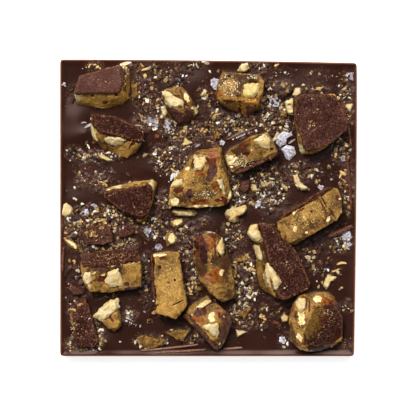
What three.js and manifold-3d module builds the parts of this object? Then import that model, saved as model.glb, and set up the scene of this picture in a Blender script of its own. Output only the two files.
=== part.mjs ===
// A square slab of dark chocolate topped with broken pieces of pecan brittle, loose pecan pieces,
// toffee flakes, flakes of salt and chocolate shards. Millimetres, +Z up, +X right and +Y away, seen
// with the toppings up. The origin is the middle of the flat underside.
import * as THREE from 'three';
import { ConvexGeometry } from 'three/addons/geometries/ConvexGeometry.js';
import { mergeVertices } from 'three/addons/utils/BufferGeometryUtils.js';
import Module from 'manifold-3d';

const wasm = await Module();
wasm.setup();

// Slab
const slabSide = 100;
const slabThickness = 6;
const slabCornerRadius = 1;
const eastShortfall = 1;        // the slab is this much narrower along its near edge
const northShortfall = 1.2;     // and this much shorter along its right edge
const edgeBulge = 0.25;         // the far and right edges swell by this in their middles
const sideDraft = 0.6;          // the sides lean in by this from the top to the underside's bevel
const undersideBevel = 0.5;
const lipWidth = 0.7;
const lipFoot = 2.2;
const lipHeight = 0.35;
const edgeHeight = 0.1;         // the outer edge of the lip above the slab's top
const swellHeight = 0.12;       // gentle waves in the poured top
const topCells = 19;            // squares across the top inside the lip

// Pieces lying in the slab
const gap = 0.3;                // clear space between neighbours
const sink = 1.2;               // how deep a large piece stands in the chocolate
const shallowSink = 0.5;        // the same for low pieces and flakes
const coatThickness = 1.2;      // chocolate coat on one face of the brittle
const chipDepth = 0.9;          // deepest chip knocked off a broken edge
const chipsPerPiece = 5;
const pecanFall = 0.55;         // a pecan bends down over its holder by no more than this per mm
const pecanTopShare = 0.64;     // width of a pecan piece's upper face in its outline
const pecanUnderShare = 0.6;    // and of its underside

// Small toppings fused to the slab
const crumbLargest = 2.6;
const crumbSmallest = 1.3;
const crumbExposed = 0.62;      // share of a crumb's height above the chocolate
const crumbPoints = 8;
const crumbFlatness = 0.9;
const crumbMargin = 3;          // no crumb's middle is nearer to the slab's edge
const goldenAngle = 2.39996;    // spreads points evenly over a ball or a patch
const toppingSink = 0.25;       // how deep lumps, salt and shards stand in the chocolate
const lumpShoulder = 0.35;      // share of a lump's height up to which its sides stand upright
const lumpTopShare = 0.62;      // width of a lump's top in its outline
const saltThickness = 0.7;
const saltCorners = 6;
const saltLean = { least: 0.1, most: 0.35 };
const shardHeight = 1.1;
const shardTip = 0.6;           // share of its width and height that a shard keeps at its ends
const shardRidge = { near: 0.5, far: 0.7, farHeight: 0.8 };

const colours = {
  chocolate: '#3d2622',
  coat: '#4a2f29',
  toffee: '#a9782f',
  pecan: '#dcc896',
  flake: '#8e7346',
  crumbly: '#5a4540',
};

// Seeded random numbers, the same on every run
function randomFrom(seed) {
  let state = seed >>> 0;
  return () => {
    state = (state + 0x6d2b79f5) >>> 0;
    let t = state;
    t = Math.imul(t ^ (t >>> 15), t | 1);
    t ^= t + Math.imul(t ^ (t >>> 7), t | 61);
    return ((t ^ (t >>> 14)) >>> 0) / 4294967296;
  };
}

// Geometry to solid and back

function solidFrom(geometry) {
  geometry.deleteAttribute('normal');
  geometry.deleteAttribute('uv');
  const merged = mergeVertices(geometry, 1e-4);
  const vertProperties = new Float32Array(merged.attributes.position.array);
  const triVerts = new Uint32Array(merged.index.array);
  return new wasm.Manifold(new wasm.Mesh({ numProp: 3, vertProperties, triVerts }));
}

function hullOf(points) {
  return solidFrom(new ConvexGeometry(points));
}

function geometryFrom(solid) {
  const mesh = solid.getMesh();
  const geometry = new THREE.BufferGeometry();
  const xyz = new Float32Array(mesh.numVert * 3);
  for (let i = 0; i < mesh.numVert; i++) {
    for (let k = 0; k < 3; k++) xyz[3 * i + k] = mesh.vertProperties[mesh.numProp * i + k];
  }
  geometry.setAttribute('position', new THREE.BufferAttribute(xyz, 3));
  geometry.setIndex(Array.from(mesh.triVerts));
  const flat = geometry.toNonIndexed();
  flat.computeVertexNormals();
  return flat;
}

function trianglesOf(solid) {
  const mesh = solid.getMesh();
  const corner = (i) => new THREE.Vector3().fromArray(mesh.vertProperties, mesh.numProp * i);
  const triangles = [];
  for (let t = 0; t < mesh.triVerts.length; t += 3) {
    const ids = [mesh.triVerts[t], mesh.triVerts[t + 1], mesh.triVerts[t + 2]];
    triangles.push({ ids, points: ids.map(corner) });
  }
  return triangles;
}

// The largest of the bodies that a cut leaves; loose scraps are dropped
function largestOf(solid) {
  const bodies = solid.decompose();
  return bodies.reduce((best, body) => (body.volume() > best.volume() ? body : best));
}

// A convex solid with every face moved out by the same distance
function grown(solid, distance) {
  const corners = new Map();
  for (const { ids, points } of trianglesOf(solid)) {
    const normal = new THREE.Triangle(...points).getNormal(new THREE.Vector3());
    ids.forEach((id, k) => {
      if (!corners.has(id)) corners.set(id, { point: points[k], normals: [] });
      corners.get(id).normals.push(normal);
    });
  }
  const steepest = 0.4;         // keeps a sharp corner from shooting far out
  const moved = [];
  for (const { point, normals } of corners.values()) {
    const way = normals.reduce((sum, n) => sum.add(n), new THREE.Vector3()).normalize();
    const least = Math.max(steepest, Math.min(...normals.map((n) => n.dot(way))));
    moved.push(point.clone().addScaledVector(way, distance / least));
  }
  return hullOf(moved);
}

function middleOf(outline) {
  const sum = outline.reduce(([a, b], [x, y]) => [a + x, b + y], [0, 0]);
  return [sum[0] / outline.length, sum[1] / outline.length];
}

// The height of a solid's upper surface over a point, or undefined beside it
function surfaceAt(solid, x, y) {
  let highest;
  for (const { points: [a, b, c] } of trianglesOf(solid)) {
    const area = (b.x - a.x) * (c.y - a.y) - (c.x - a.x) * (b.y - a.y);
    if (Math.abs(area) < 1e-9) continue;
    const s = ((b.x - x) * (c.y - y) - (c.x - x) * (b.y - y)) / area;
    const t = ((c.x - x) * (a.y - y) - (a.x - x) * (c.y - y)) / area;
    if (s < 0 || t < 0 || s + t > 1) continue;
    const z = s * a.z + t * b.z + (1 - s - t) * c.z;
    if (highest === undefined || z > highest) highest = z;
  }
  return highest;
}

// The slab

const half = slabSide / 2;
const mix = THREE.MathUtils.lerp;

function slabPoint(u, v) {
  const east = half - mix(eastShortfall, 0, (v + 1) / 2) + edgeBulge * (1 - v * v);
  const north = half - mix(0, northShortfall, (u + 1) / 2) + edgeBulge * (1 - u * u);
  const pull = Math.abs(u) === 1 && Math.abs(v) === 1 ? slabCornerRadius * (1 - Math.SQRT1_2) : 0;
  return new THREE.Vector2(
    mix(-half, east, (u + 1) / 2) - Math.sign(u) * pull,
    mix(-half, north, (v + 1) / 2) - Math.sign(v) * pull,
  );
}

function slabTop(x, y) {
  const waves = Math.sin(0.13 * x + 0.6) * Math.cos(0.11 * y - 0.4) + 0.5 * Math.sin(0.29 * x - 0.23 * y);
  return slabThickness + swellHeight * waves;
}

function lipAt(u, v) {
  const fromEdge = (1 - Math.max(Math.abs(u), Math.abs(v))) * half;
  if (fromEdge < lipWidth / 2) return edgeHeight;
  return fromEdge < (lipWidth + lipFoot) / 2 ? lipHeight : 0;
}

// Steps across the slab: its edge, the crest and foot of the lip, then even squares
function stations() {
  const crest = 1 - lipWidth / half;
  const foot = 1 - lipFoot / half;
  const inner = [];
  for (let i = 0; i <= topCells; i++) inner.push(mix(-foot, foot, i / topCells));
  return [-1, -crest, ...inner, crest, 1];
}

function makeSlab() {
  const steps = stations();
  const n = steps.length;
  const positions = [];
  const faces = [];
  const add = (x, y, z) => positions.push(x, y, z) / 3 - 1;
  const quad = (a, b, c, d) => faces.push(a, b, c, a, c, d);
  const top = steps.map((v) => steps.map((u) => {
    const p = slabPoint(u, v);
    return add(p.x, p.y, slabTop(p.x, p.y) + lipAt(u, v));
  }));
  for (let j = 0; j < n - 1; j++) {
    for (let i = 0; i < n - 1; i++) quad(top[j][i], top[j][i + 1], top[j + 1][i + 1], top[j + 1][i]);
  }
  const rim = [];
  for (let i = 0; i < n - 1; i++) rim.push([i, 0]);
  for (let j = 0; j < n - 1; j++) rim.push([n - 1, j]);
  for (let i = n - 1; i > 0; i--) rim.push([i, n - 1]);
  for (let j = n - 1; j > 0; j--) rim.push([0, j]);
  const inset = (i, j, by, z) => {
    const p = slabPoint(steps[i], steps[j]);
    return add(p.x * (1 - by / half), p.y * (1 - by / half), z);
  };
  const side = rim.map(([i, j]) => inset(i, j, sideDraft, undersideBevel));
  const under = rim.map(([i, j]) => inset(i, j, sideDraft + undersideBevel, 0));
  const middle = add(0, 0, 0);
  rim.forEach(([i, j], k) => {
    const next = (k + 1) % rim.length;
    const [ni, nj] = rim[next];
    quad(side[k], side[next], top[nj][ni], top[j][i]);
    quad(under[k], under[next], side[next], side[k]);
    faces.push(under[next], under[k], middle);
  });
  const geometry = new THREE.BufferGeometry();
  geometry.setAttribute('position', new THREE.Float32BufferAttribute(positions, 3));
  geometry.setIndex(faces);
  return solidFrom(geometry);
}

// Broken pieces: a convex block from its foot outline and its crown, with chips knocked off.
// Heights are above the slab's top.

const raised = (points, level) => points.map(([x, y, h = 0]) => new THREE.Vector3(x, y, level + h));

function blockFrom({ foot, crown, sunk = sink }) {
  return hullOf([...raised(foot, slabThickness - sunk), ...raised(crown, slabThickness)]);
}

function chipped(solid, random, count) {
  let body = solid;
  for (let i = 0; i < count; i++) {
    const turn = random() * Math.PI * 2;
    const rise = mix(-0.1, 0.75, random());
    const way = new THREE.Vector3(Math.cos(turn), Math.sin(turn), rise).normalize();
    const corners = trianglesOf(body).flatMap(({ points }) => points);
    const reach = Math.max(...corners.map((p) => p.dot(way)));
    const depth = chipDepth * mix(0.3, 1, random());
    body = body.trimByPlane(way.clone().negate().toArray(), depth - reach);
  }
  return body;
}

// The coat's plane through three points of its outer face, pointing away from the piece
function coatPlane(points, solid) {
  const plane = new THREE.Plane().setFromCoplanarPoints(...raised(points, slabThickness));
  const box = solid.boundingBox();
  const middle = new THREE.Vector3().fromArray(box.min).add(new THREE.Vector3().fromArray(box.max));
  if (plane.distanceToPoint(middle.multiplyScalar(0.5)) > 0) plane.negate();
  return plane;
}

function splitCoat(solid, plane) {
  const outwards = plane.normal.toArray();
  const inwards = plane.normal.clone().negate().toArray();
  const coat = solid.trimByPlane(outwards, -plane.constant - coatThickness);
  const rest = solid.trimByPlane(inwards, plane.constant + coatThickness + gap);
  return { coat, rest };
}

// A pecan piece from its outline. It lies on the piece that holds it, or at its own level.
function pecanFrom({ outline, level, proud = 0.7, deep = 1.8 }, holder) {
  const middle = middleOf(outline);
  const heart = level === undefined ? surfaceAt(holder, ...middle) : slabThickness + level;
  const seat = ([x, y]) => {
    if (level !== undefined) return heart;
    const fall = pecanFall * Math.hypot(x - middle[0], y - middle[1]);
    return THREE.MathUtils.clamp(surfaceAt(holder, x, y) ?? heart, heart - fall, heart + fall);
  };
  const ring = (scale, rise) => outline.map(([x, y]) => new THREE.Vector3(
    mix(middle[0], x, scale), mix(middle[1], y, scale), seat([x, y]) + rise));
  return hullOf([...ring(1, 0), ...ring(pecanTopShare, proud), ...ring(pecanUnderShare, -deep)]);
}

// The pieces of brittle. A foot is the outline that meets the slab, a crown the corners of the top,
// [x, y, height]. A coat is three points of the coated face.

const brittle = [
  {
    name: '01',
    foot: [[-45.2, 38], [-43, 44], [-30, 47.6], [-27, 48.4], [-26.2, 42], [-26.6, 36], [-28, 33.9],
      [-36, 32.5], [-43.8, 34.4]],
    crown: [[-45, 39, 7.6], [-43.2, 44.2, 6.3], [-30, 48, 5.4], [-29.9, 40.5, 7.5], [-30.2, 39.1, 7.9],
      [-27.2, 46, 4]],
    coat: [[-45, 39, 7.6], [-30, 48, 5.4], [-30.2, 39.1, 7.9]],
  },
  {
    name: '02',
    foot: [[-39.2, 31], [-30, 29.5], [-22.3, 25.5], [-23.4, 20.5], [-25.4, 17.4], [-28.8, 15.9],
      [-35, 18.5], [-38.8, 21], [-39.9, 26]],
    crown: [[-39, 31.8, 4.6], [-31, 30.3, 5.2], [-21.4, 25.4, 6.6], [-22.4, 22.4, 7.5], [-28, 24, 7.2],
      [-37.4, 26.2, 6.6], [-39.3, 29.6, 5.2]],
    coat: [[-39, 31.8, 4.6], [-21.4, 25.4, 6.6], [-37.4, 26.2, 6.6]],
    pecans: [
      { outline: [[-35.3, 23], [-33.8, 23.9], [-29.6, 23.8], [-27.6, 22.7], [-30, 20.5], [-32.2, 21.2]] },
    ],
  },
  {
    name: '03',
    foot: [[-34.8, 4], [-33.3, 7.2], [-25, 9], [-17, 9.9], [-17.9, 6], [-19.2, 1], [-21.6, -5.6],
      [-24, -4.2], [-30, -0.5]],
    crown: [[-35, 5.2, 4.6], [-27, 6.2, 6.2], [-20.4, 8.1, 7.4], [-18.9, 4.8, 7.1], [-20.5, -2.2, 5.8],
      [-22.5, -4, 5.4], [-24.6, -4.1, 5.1], [-35, 3.6, 4.4]],
    coat: [[-35, 5.2, 4.6], [-20.4, 8.1, 7.4], [-22.5, -4, 5.4]],
  },
  {
    name: '04',
    foot: [[-13, 1.5], [-12.6, 8], [-9, 13], [-5.6, 18.5], [-2.5, 19.8], [4, 20.9], [5, 18], [5.6, 12],
      [7.8, 5], [6.5, 1.8], [-9, 1]],
    crown: [[-13, 1.2, 5.6], [-5, 0.2, 6.5], [4.5, 0.7, 6.6], [7.6, 3.5, 5.8], [3, 9, 8.6],
      [-2, 11.5, 9.2], [-9, 9.5, 7.2], [-13.1, 5.5, 5.6], [-4.5, 18, 5.4], [3.6, 19.3, 4.6]],
    pecans: [
      { outline: [[-4.8, 18], [-0.5, 18], [-0.9, 15.5], [-2.3, 12.5], [-4.7, 12.5], [-5.1, 15]], proud: 1 },
      { outline: [[2.8, 9.6], [4.6, 9.2], [5.4, 6.6], [5.3, 4.4], [4, 6.2]] },
      { outline: [[-12.8, 7], [-11.6, 9.2], [-8.8, 9.8], [-8.6, 8], [-10.4, 6.8]] },
    ],
  },
  {
    name: '05',
    foot: [[-15.6, 38.5], [-12, 40.8], [-8.5, 40.4], [-6, 37], [-3.4, 32], [-4, 30.8], [-9.3, 27.7],
      [-13, 29.2], [-14.4, 33.4]],
    crown: [[-15.4, 39, 5.6], [-12.8, 40.6, 4.6], [-9.6, 40.8, 4.4], [-7, 38.6, 5], [-4, 32.4, 5.4],
      [-8.2, 33.4, 6.8], [-14, 34, 6.6], [-9.3, 28.2, 2.8], [-4.4, 31, 3.6]],
    coat: [[-14, 34, 6.6], [-8.2, 33.2, 6.8], [-9.3, 28.2, 2.6]],
    pecans: [
      { outline: [[-15.8, 39.2], [-14.8, 35.2], [-12.8, 33.8], [-9.8, 32.6], [-8.3, 33.4], [-8.5, 35.9],
        [-11, 37.3], [-14.4, 39.4]], proud: 1.3 },
    ],
  },
  {
    name: '06',
    foot: [[5, 46], [9.8, 45.6], [17.6, 44.7], [18.9, 42.6], [18.4, 38], [17.2, 32.6], [12.5, 30.4],
      [8, 32.4], [3, 36], [2.1, 39], [3.8, 42.5]],
    crown: [[4.8, 45.8, 4.6], [17.8, 44.5, 5.2], [18.8, 43.4, 5.4], [17.3, 35.3, 7.6], [3.6, 36.3, 7.2],
      [2.3, 38.4, 6.2], [4, 44, 4.8]],
    coat: [[3.6, 36.3, 7.2], [17.3, 35.3, 7.6], [12.5, 30.6, -0.6]],
    pecans: [
      { outline: [[12.3, 41.1], [14.5, 42.4], [17, 42], [17.4, 40], [15.6, 37], [12.6, 36.9], [11.4, 38.6]],
        proud: 1.1 },
    ],
  },
  {
    name: '07',
    foot: [[31.4, 37.6], [42.4, 38], [43.4, 34.5], [46.3, 28.6], [45.6, 26], [40.6, 22.3], [36, 18.3],
      [31, 18], [30.4, 24], [29, 31], [29.1, 36.4]],
    crown: [[31.4, 37.9, 6.9], [42.8, 38, 6.5], [43.8, 34, 6.8], [46.7, 28.6, 7], [46, 25.9, 7.2],
      [41, 22, 7.6], [34.5, 18.6, 8.1], [32.4, 20, 8], [30.6, 28, 7.4], [29, 32, 7.2], [29.5, 36.8, 7]],
    coat: [[31.4, 37.9, 6.9], [46.7, 28.6, 7], [34.5, 18.6, 8.1]],
    pecans: [
      { outline: [[26, 35.6], [28.2, 37], [28.8, 35], [28.7, 31.4], [27.2, 31.2], [26.2, 33.4]], level: 4.4,
        proud: 1.6, deep: 5 },
    ],
  },
  {
    name: '08',
    foot: [[5.3, 17], [8, 20.6], [15, 24.3], [19.8, 25.4], [21, 20.6], [23.6, 18.2], [22.9, 17.1],
      [15, 13.6], [9.5, 11], [7.2, 12.4]],
    crown: [[5.7, 17.6, 6.4], [8.3, 20.2, 7.4], [15, 24, 8], [19.6, 25.1, 7.8], [20.9, 21, 7.4],
      [23.5, 18.4, 7], [23.4, 17.6, 6.8], [9.6, 11.2, 6.2], [7.6, 12.6, 6.2]],
    coat: [[9.4, 10.9, 6.2], [23.6, 17.4, 6.8], [15.2, 14.6, 0]],
    pecans: [
      { outline: [[15, 22.8], [18.2, 24.6], [19.9, 25], [20.6, 22.5], [20.3, 19.9], [18.4, 19.8]] },
    ],
  },
  {
    name: '09',
    foot: [[23.5, -3.2], [32, 2.2], [40, 6.6], [43, 6.5], [44.5, 3], [44.8, -1], [43, -3.8], [36, -8],
      [29, -12.1], [25.6, -10.6], [23.4, -6.5]],
    crown: [[23.7, -3, 7], [40, 6.9, 7.2], [43.2, 6.2, 6.8], [44.5, 3, 6.9], [44.7, -1.5, 7.2],
      [43, -4, 7.6], [29, -12.3, 7.8], [25.4, -10.8, 7.4], [23.4, -7, 7.1]],
    coat: [[23.2, -3.1, 7], [40, 7, 7.2], [32.4, 2, 0]],
  },
  {
    name: '10',
    foot: [[-5.2, -11], [-1.5, -8.8], [2.5, -8.8], [5, -10.5], [7.4, -17.4], [8.4, -24], [9.2, -29.6],
      [5.8, -31.6], [1.5, -29.7], [-3.6, -24], [-5, -17]],
    crown: [[-4.8, -10.6, 5.8], [0, -8.2, 5.6], [4.8, -10.4, 5.8], [7.2, -17.6, 5.8], [8.5, -25, 5.8],
      [9, -30, 6], [5, -31.5, 6.6], [0.4, -28.4, 7.6], [0.8, -16, 8.4], [-3.4, -23.4, 6.2],
      [-4.9, -17, 6]],
    pecans: [
      { outline: [[3, -12.6], [4.5, -10], [5, -12], [5.5, -15.8], [4.3, -16.4], [2.8, -13.8]], proud: 0.9 },
    ],
  },
  {
    name: '11',
    foot: [[17, -5.6], [22, -6.1], [30, -15.8], [33.9, -26.4], [28.5, -29.9], [24.8, -31.3],
      [19.8, -29.4], [16.2, -26], [14.8, -17], [14, -9]],
    crown: [[17.8, -5.2, 6.6], [22, -5.9, 6.7], [26, -10.6, 7], [30, -15.6, 7], [33.9, -25, 6.9],
      [34, -27, 7], [24.8, -31.2, 7.6], [22.8, -27.6, 7.5], [19.4, -13, 7]],
    coat: [[17.8, -5.2, 6.6], [34, -27, 7], [24.8, -31.2, 7.6]],
    pecans: [
      { outline: [[12.9, -8.5], [14.2, -6.1], [16.4, -5.5], [18.5, -11], [17, -11.8], [14.5, -10.5]],
        level: 5.4, proud: 1.5, deep: 5.9 },
      { outline: [[15, -12.6], [17, -12.8], [18.8, -16.6], [18, -17.7], [16.6, -17.4], [15.4, -15]],
        proud: 1 },
      { outline: [[19.8, -18.6], [21.6, -20], [24.4, -25], [22.9, -27.6], [19.6, -26.6], [18.3, -22.5]],
        proud: 1.1 },
    ],
  },
  {
    name: '12',
    foot: [[-43.1, -18.6], [-42.2, -15.8], [-38, -14.8], [-24.3, -13.7], [-22.3, -19], [-22.5, -26.4],
      [-28, -27.6], [-38, -28.2], [-41.6, -25.8]],
    crown: [[-43, -18.8, 6.4], [-42, -15.9, 3.6], [-24.6, -13.8, 3.8], [-23.6, -17, 7], [-38, -18.8, 7.2],
      [-22.5, -20, 6.6], [-22.6, -26.6, 5.2], [-33, -28.4, 5], [-40, -27.9, 4.8], [-42.2, -24.5, 5.2]],
    coat: [[-42, -15.9, 3.6], [-24.6, -13.8, 3.8], [-31, -17.8, 7.4]],
    pecans: [
      { outline: [[-41.5, -21.6], [-39.9, -21.6], [-39.3, -23.6], [-39.9, -27.2], [-42.1, -24.2]] },
      { outline: [[-33.8, -21.8], [-30.5, -20.5], [-29, -23.4], [-28.9, -26.2], [-32.8, -26.8],
        [-35.2, -25.4]], proud: 0.9 },
    ],
  },
  {
    name: '13',
    foot: [[-19.9, -16], [-13, -15.1], [-10.2, -15.4], [-9, -23], [-7.2, -32.8], [-11.1, -37],
      [-17.6, -35], [-18.9, -26]],
    crown: [[-19.8, -15.8, 7.6], [-13, -14.9, 7.3], [-10.2, -15.2, 7.3], [-9.1, -24, 7.6],
      [-7, -33, 6.8], [-8.2, -34.4, 7], [-11.1, -37.2, 7.4], [-17.6, -35.2, 7.8], [-18.8, -26, 7.8]],
    coat: [[-20.1, -15.8, 7.6], [-18.9, -35.2, 7.8], [-19.3, -26, 0]],
  },
  {
    name: '14',
    foot: [[-0.6, -29.8], [3.6, -33], [7.4, -36.2], [8, -39], [5.5, -45.5], [3, -48.4], [-1.5, -44],
      [-9, -36.6], [-6.4, -33.8], [-3, -31.2]],
    crown: [[-0.8, -30.2, 5.4], [3.4, -33.2, 6], [7.2, -36.4, 5.6], [7.6, -39, 5.4], [4.8, -46, 5],
      [3, -48.2, 5], [0.8, -45.6, 6.4], [-3.6, -39.6, 7.4], [-7.8, -36.6, 6.2], [-6.2, -33.8, 5.4],
      [2.4, -39, 8]],
    coat: [[-7.9, -36.9, 6.2], [0.6, -46, 6.4], [-5.6, -40.2, 0]],
    pecans: [
      { outline: [[-4.8, -34], [-2, -33.9], [0.9, -31.6], [-0.2, -30.5], [-3, -32.6]] },
      { outline: [[-1.9, -39.8], [0, -39], [2.9, -38.9], [3.9, -42.6], [2.8, -43.6], [1, -42.7]],
        proud: 0.9 },
    ],
  },
  {
    name: '15',
    foot: [[31, -28.8], [40, -28.7], [42.6, -30.2], [45, -37], [44.8, -44.6], [42.8, -46.4],
      [36, -48.4], [30.6, -47.6], [27.6, -45], [27.2, -38], [28.6, -32]],
    crown: [[31, -28.9, 5.6], [40, -28.8, 5.2], [42.3, -30.4, 5.4], [42.8, -33.8, 6.4],
      [38.4, -36, 8.2], [33, -44, 8], [31, -47.4, 5.8], [28.2, -45, 5], [27.4, -38, 5],
      [28.8, -32.4, 5.2], [45, -37.4, 5.4], [44.8, -44.4, 4], [40, -47.5, 4], [34, -48.3, 4.6]],
    coat: [[42.8, -33.8, 6.5], [33, -44, 8.1], [44.8, -44.6, 4]],
    pecans: [
      { outline: [[29.1, -32.4], [30.6, -30.5], [33.2, -30.4], [32.8, -34], [31, -35.2], [30, -34.6]],
        proud: 0.9 },
    ],
  },
  {
    name: '16',
    foot: [[-30.4, -33.6], [-29.4, -38], [-30, -40.2], [-32, -41.8], [-35.2, -39.8], [-36, -36.8]],
    crown: [[-30.6, -34.2, 4.4], [-30, -36.6, 4.8], [-29.6, -38.2, 4.4], [-31, -41, 3.8],
      [-33.4, -40.8, 4], [-35.2, -39, 4.4], [-35.4, -37, 4]],
    pecans: [
      { outline: [[-39, -36.8], [-37, -34.4], [-33, -31], [-30.5, -30.6], [-29.9, -33.5], [-31.6, -35.6],
        [-35.8, -38.6]], level: 3.2, proud: 1.7, deep: 3.6 },
    ],
  },
];

// Lower pieces and flakes, one solid each
const lowPieces = [
  {
    name: 'coated_piece_1', colour: 'coat',
    foot: [[-46.8, -36.2], [-43.2, -31], [-41.4, -30.2], [-40, -34], [-38.6, -41.6], [-36.7, -45],
      [-38.2, -47.4], [-44.8, -47]],
    crown: [[-46.2, -36.2, 2.5], [-43, -31.6, 2.9], [-41.5, -30.9, 2.8], [-40.3, -34, 3.3],
      [-39, -41.6, 3.2], [-37.2, -45, 2.8], [-38.6, -46.9, 2.5], [-44.4, -46.5, 2.3]],
  },
  {
    name: 'coated_piece_2', colour: 'coat',
    foot: [[-43.4, -9], [-40, -5.9], [-35, -5.4], [-32.6, -6.6], [-31.3, -11.2], [-36, -12.9],
      [-41, -12.5]],
    crown: [[-42.8, -9, 2.4], [-39.8, -6.4, 2.8], [-35, -5.9, 3.2], [-33, -6.9, 3.2],
      [-31.8, -11, 2.6], [-36, -12.4, 2.7], [-40.8, -12, 2.3]],
  },
  {
    name: 'coated_piece_3', colour: 'coat',
    foot: [[-30.5, -6.6], [-27, -5.1], [-24.6, -6.6], [-24.4, -9], [-27, -10.6], [-30.6, -10.2]],
    crown: [[-29.9, -7, 2.2], [-27, -5.7, 2.6], [-25.1, -6.9, 2.4], [-25, -8.7, 2], [-27.2, -10, 2.1],
      [-30, -9.6, 2]],
  },
  {
    name: 'crumbly_piece_1', colour: 'crumbly',
    foot: [[20.6, 41.6], [21.2, 43], [27, 42.9], [29, 41.4], [28.8, 39.6], [25, 37.3], [22, 39]],
    crown: [[21, 41.6, 2.8], [22, 42.6, 3.2], [26.6, 42.3, 3.4], [28.4, 41, 3], [28.2, 39.8, 2.6],
      [25, 38, 3], [22.6, 39.4, 3.2]],
  },
  {
    name: 'crumbly_piece_2', colour: 'crumbly',
    foot: [[9.6, -20], [12, -20.6], [13.8, -22], [14.2, -25], [12, -25.2], [9.8, -23.6]],
    crown: [[10, -20.4, 2.6], [11.8, -20.9, 3], [13.3, -22.2, 3.2], [13.6, -24.4, 2.6],
      [12.2, -24.7, 2.4], [10.2, -23.2, 2.4]],
  },
  {
    name: 'toffee_flake_1', colour: 'flake',
    foot: [[-24.6, -43.8], [-22, -42.8], [-17, -44.4], [-15.3, -44.2], [-14.2, -45.8], [-19, -47.9],
      [-22.4, -47.4], [-24.6, -46]],
    crown: [[-24.2, -44, 1], [-22, -43.2, 1.7], [-17, -44.8, 2], [-14.7, -45.7, 1.1], [-19, -47.4, 1.2],
      [-22.2, -47, 1], [-24.1, -45.8, 0.9]],
  },
  {
    name: 'toffee_flake_2', colour: 'flake',
    foot: [[-14.4, -42.3], [-11, -41.3], [-6.2, -40.9], [-7, -43], [-8.5, -45.2], [-11, -44.5]],
    crown: [[-13.8, -42.3, 0.8], [-11, -41.7, 1.4], [-6.7, -41.2, 2.1], [-7.4, -43, 1.9],
      [-8.7, -44.8, 1.1], [-11, -44.1, 0.9]],
  },
];

// Loose pecan pieces, one solid each, some of two lobes
const loosePecans = [
  {
    name: 'loose_pecan_1',
    lobes: [[[9.9, 46.2], [11.4, 48.4], [13, 48.8], [13.8, 47.4], [13, 45.8], [10.6, 45.9]]],
    level: 1.8, proud: 1.7,
  },
  {
    name: 'loose_pecan_2',
    lobes: [
      [[5.6, -0.4], [8, 0.6], [10, -0.3], [10.4, -4.6], [8.8, -4.8], [6.4, -3.8], [5.5, -2]],
      [[9, 0], [12.5, 0.8], [12.9, -0.8], [11.6, -2.6], [9.4, -2.8]],
    ],
    level: 1.4, proud: 1.6,
  },
  {
    name: 'loose_pecan_3',
    lobes: [[[-12.8, -1.3], [-11, -0.7], [-5, -0.7], [-3.9, -1.7], [-5, -2.9], [-10, -2.8]]],
    level: 1, proud: 1.2,
  },
  {
    name: 'loose_pecan_4',
    lobes: [
      [[28.3, 11], [29, 7.6], [30.4, 6], [31, 8.4], [29.9, 11.2]],
      [[29.4, 7.4], [31.5, 5.8], [33.7, 6.5], [32.4, 7.4], [30.6, 8.8]],
    ],
    level: 1.4, proud: 1.6,
  },
];

// The larger of the small toppings fused to the slab, each an outline or a line of [x, y] points

const smallPecans = [
  [[-49, 1], [-48, 1.7], [-46.5, 0.5], [-45.8, -0.9], [-46.4, -2.5], [-48, -3.1], [-49.4, -2.4]],
  [[39, -26.4], [40.2, -22.6], [42.6, -23.6], [42, -25], [40.3, -27.7]],
  [[-37.1, 17.8], [-35.6, 18], [-32, 15.8], [-33.6, 15.6], [-36.6, 16.8]],
  [[24.4, -37.2], [25.4, -35.6], [27, -36.8], [26.8, -38.4], [25, -38.6]],
  [[-3, 37.4], [-1.4, 40], [-0.5, 39.4], [-0.9, 38]],
  [[-8.6, 20.9], [-8, 23.7], [-5.2, 21.9], [-6.8, 21.2]],
  [[-22.8, 46.5], [-20, 47.7], [-19.8, 46.6], [-22.4, 46.1]],
  [[14.6, 5.4], [14.8, 7.8], [16.2, 7.9], [16.8, 5.6]],
  [[9.2, -41.2], [13.2, -41.9], [9.8, -43.6]],
  [[46.4, 35], [49, 35.2], [47.8, 32.2], [46.2, 34]],
];
const smallPecanRise = 1.5;

const toffeeBits = [
  [[-26, 41.6], [-24.2, 42], [-23.5, 37.4], [-25.6, 36.4]],
  [[-49, -10], [-47, -10.3], [-42.4, -14.8], [-45, -14.2], [-47.5, -12.8]],
  [[0.4, 27.8], [2.6, 27.4], [4.3, 23], [2.2, 22.7]],
  [[10, -35.6], [11.6, -34.3], [14.6, -33.5], [13.5, -36], [12, -37.7]],
  [[-13.6, -8], [-12, -8], [-10.4, -10.8], [-11.6, -12], [-14, -13.3], [-14.6, -10]],
  [[-13, -4.6], [-9, -3.6], [-8.2, -4.8], [-11, -8.1], [-12, -7]],
  [[-4.2, -27.6], [-3.4, -26.6], [-1.8, -27.6], [-3.8, -28.6]],
  [[8.8, -17.4], [12.4, -16], [13.8, -18], [10, -18.4]],
  [[24.2, 32.6], [26.4, 32.8], [26.8, 30.2], [25, 30.6]],
];
const toffeeBitRise = 1.6;

const chocolateBits = [
  [[11, 9.4], [14.5, 9.6], [13.7, 5.6], [12, 4.6], [10.2, 6]],
  [[-48, -27], [-45.2, -26.4], [-41.6, -28], [-42, -29.4], [-45.6, -29.6]],
];
const chocolateBitRise = 2;

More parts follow.
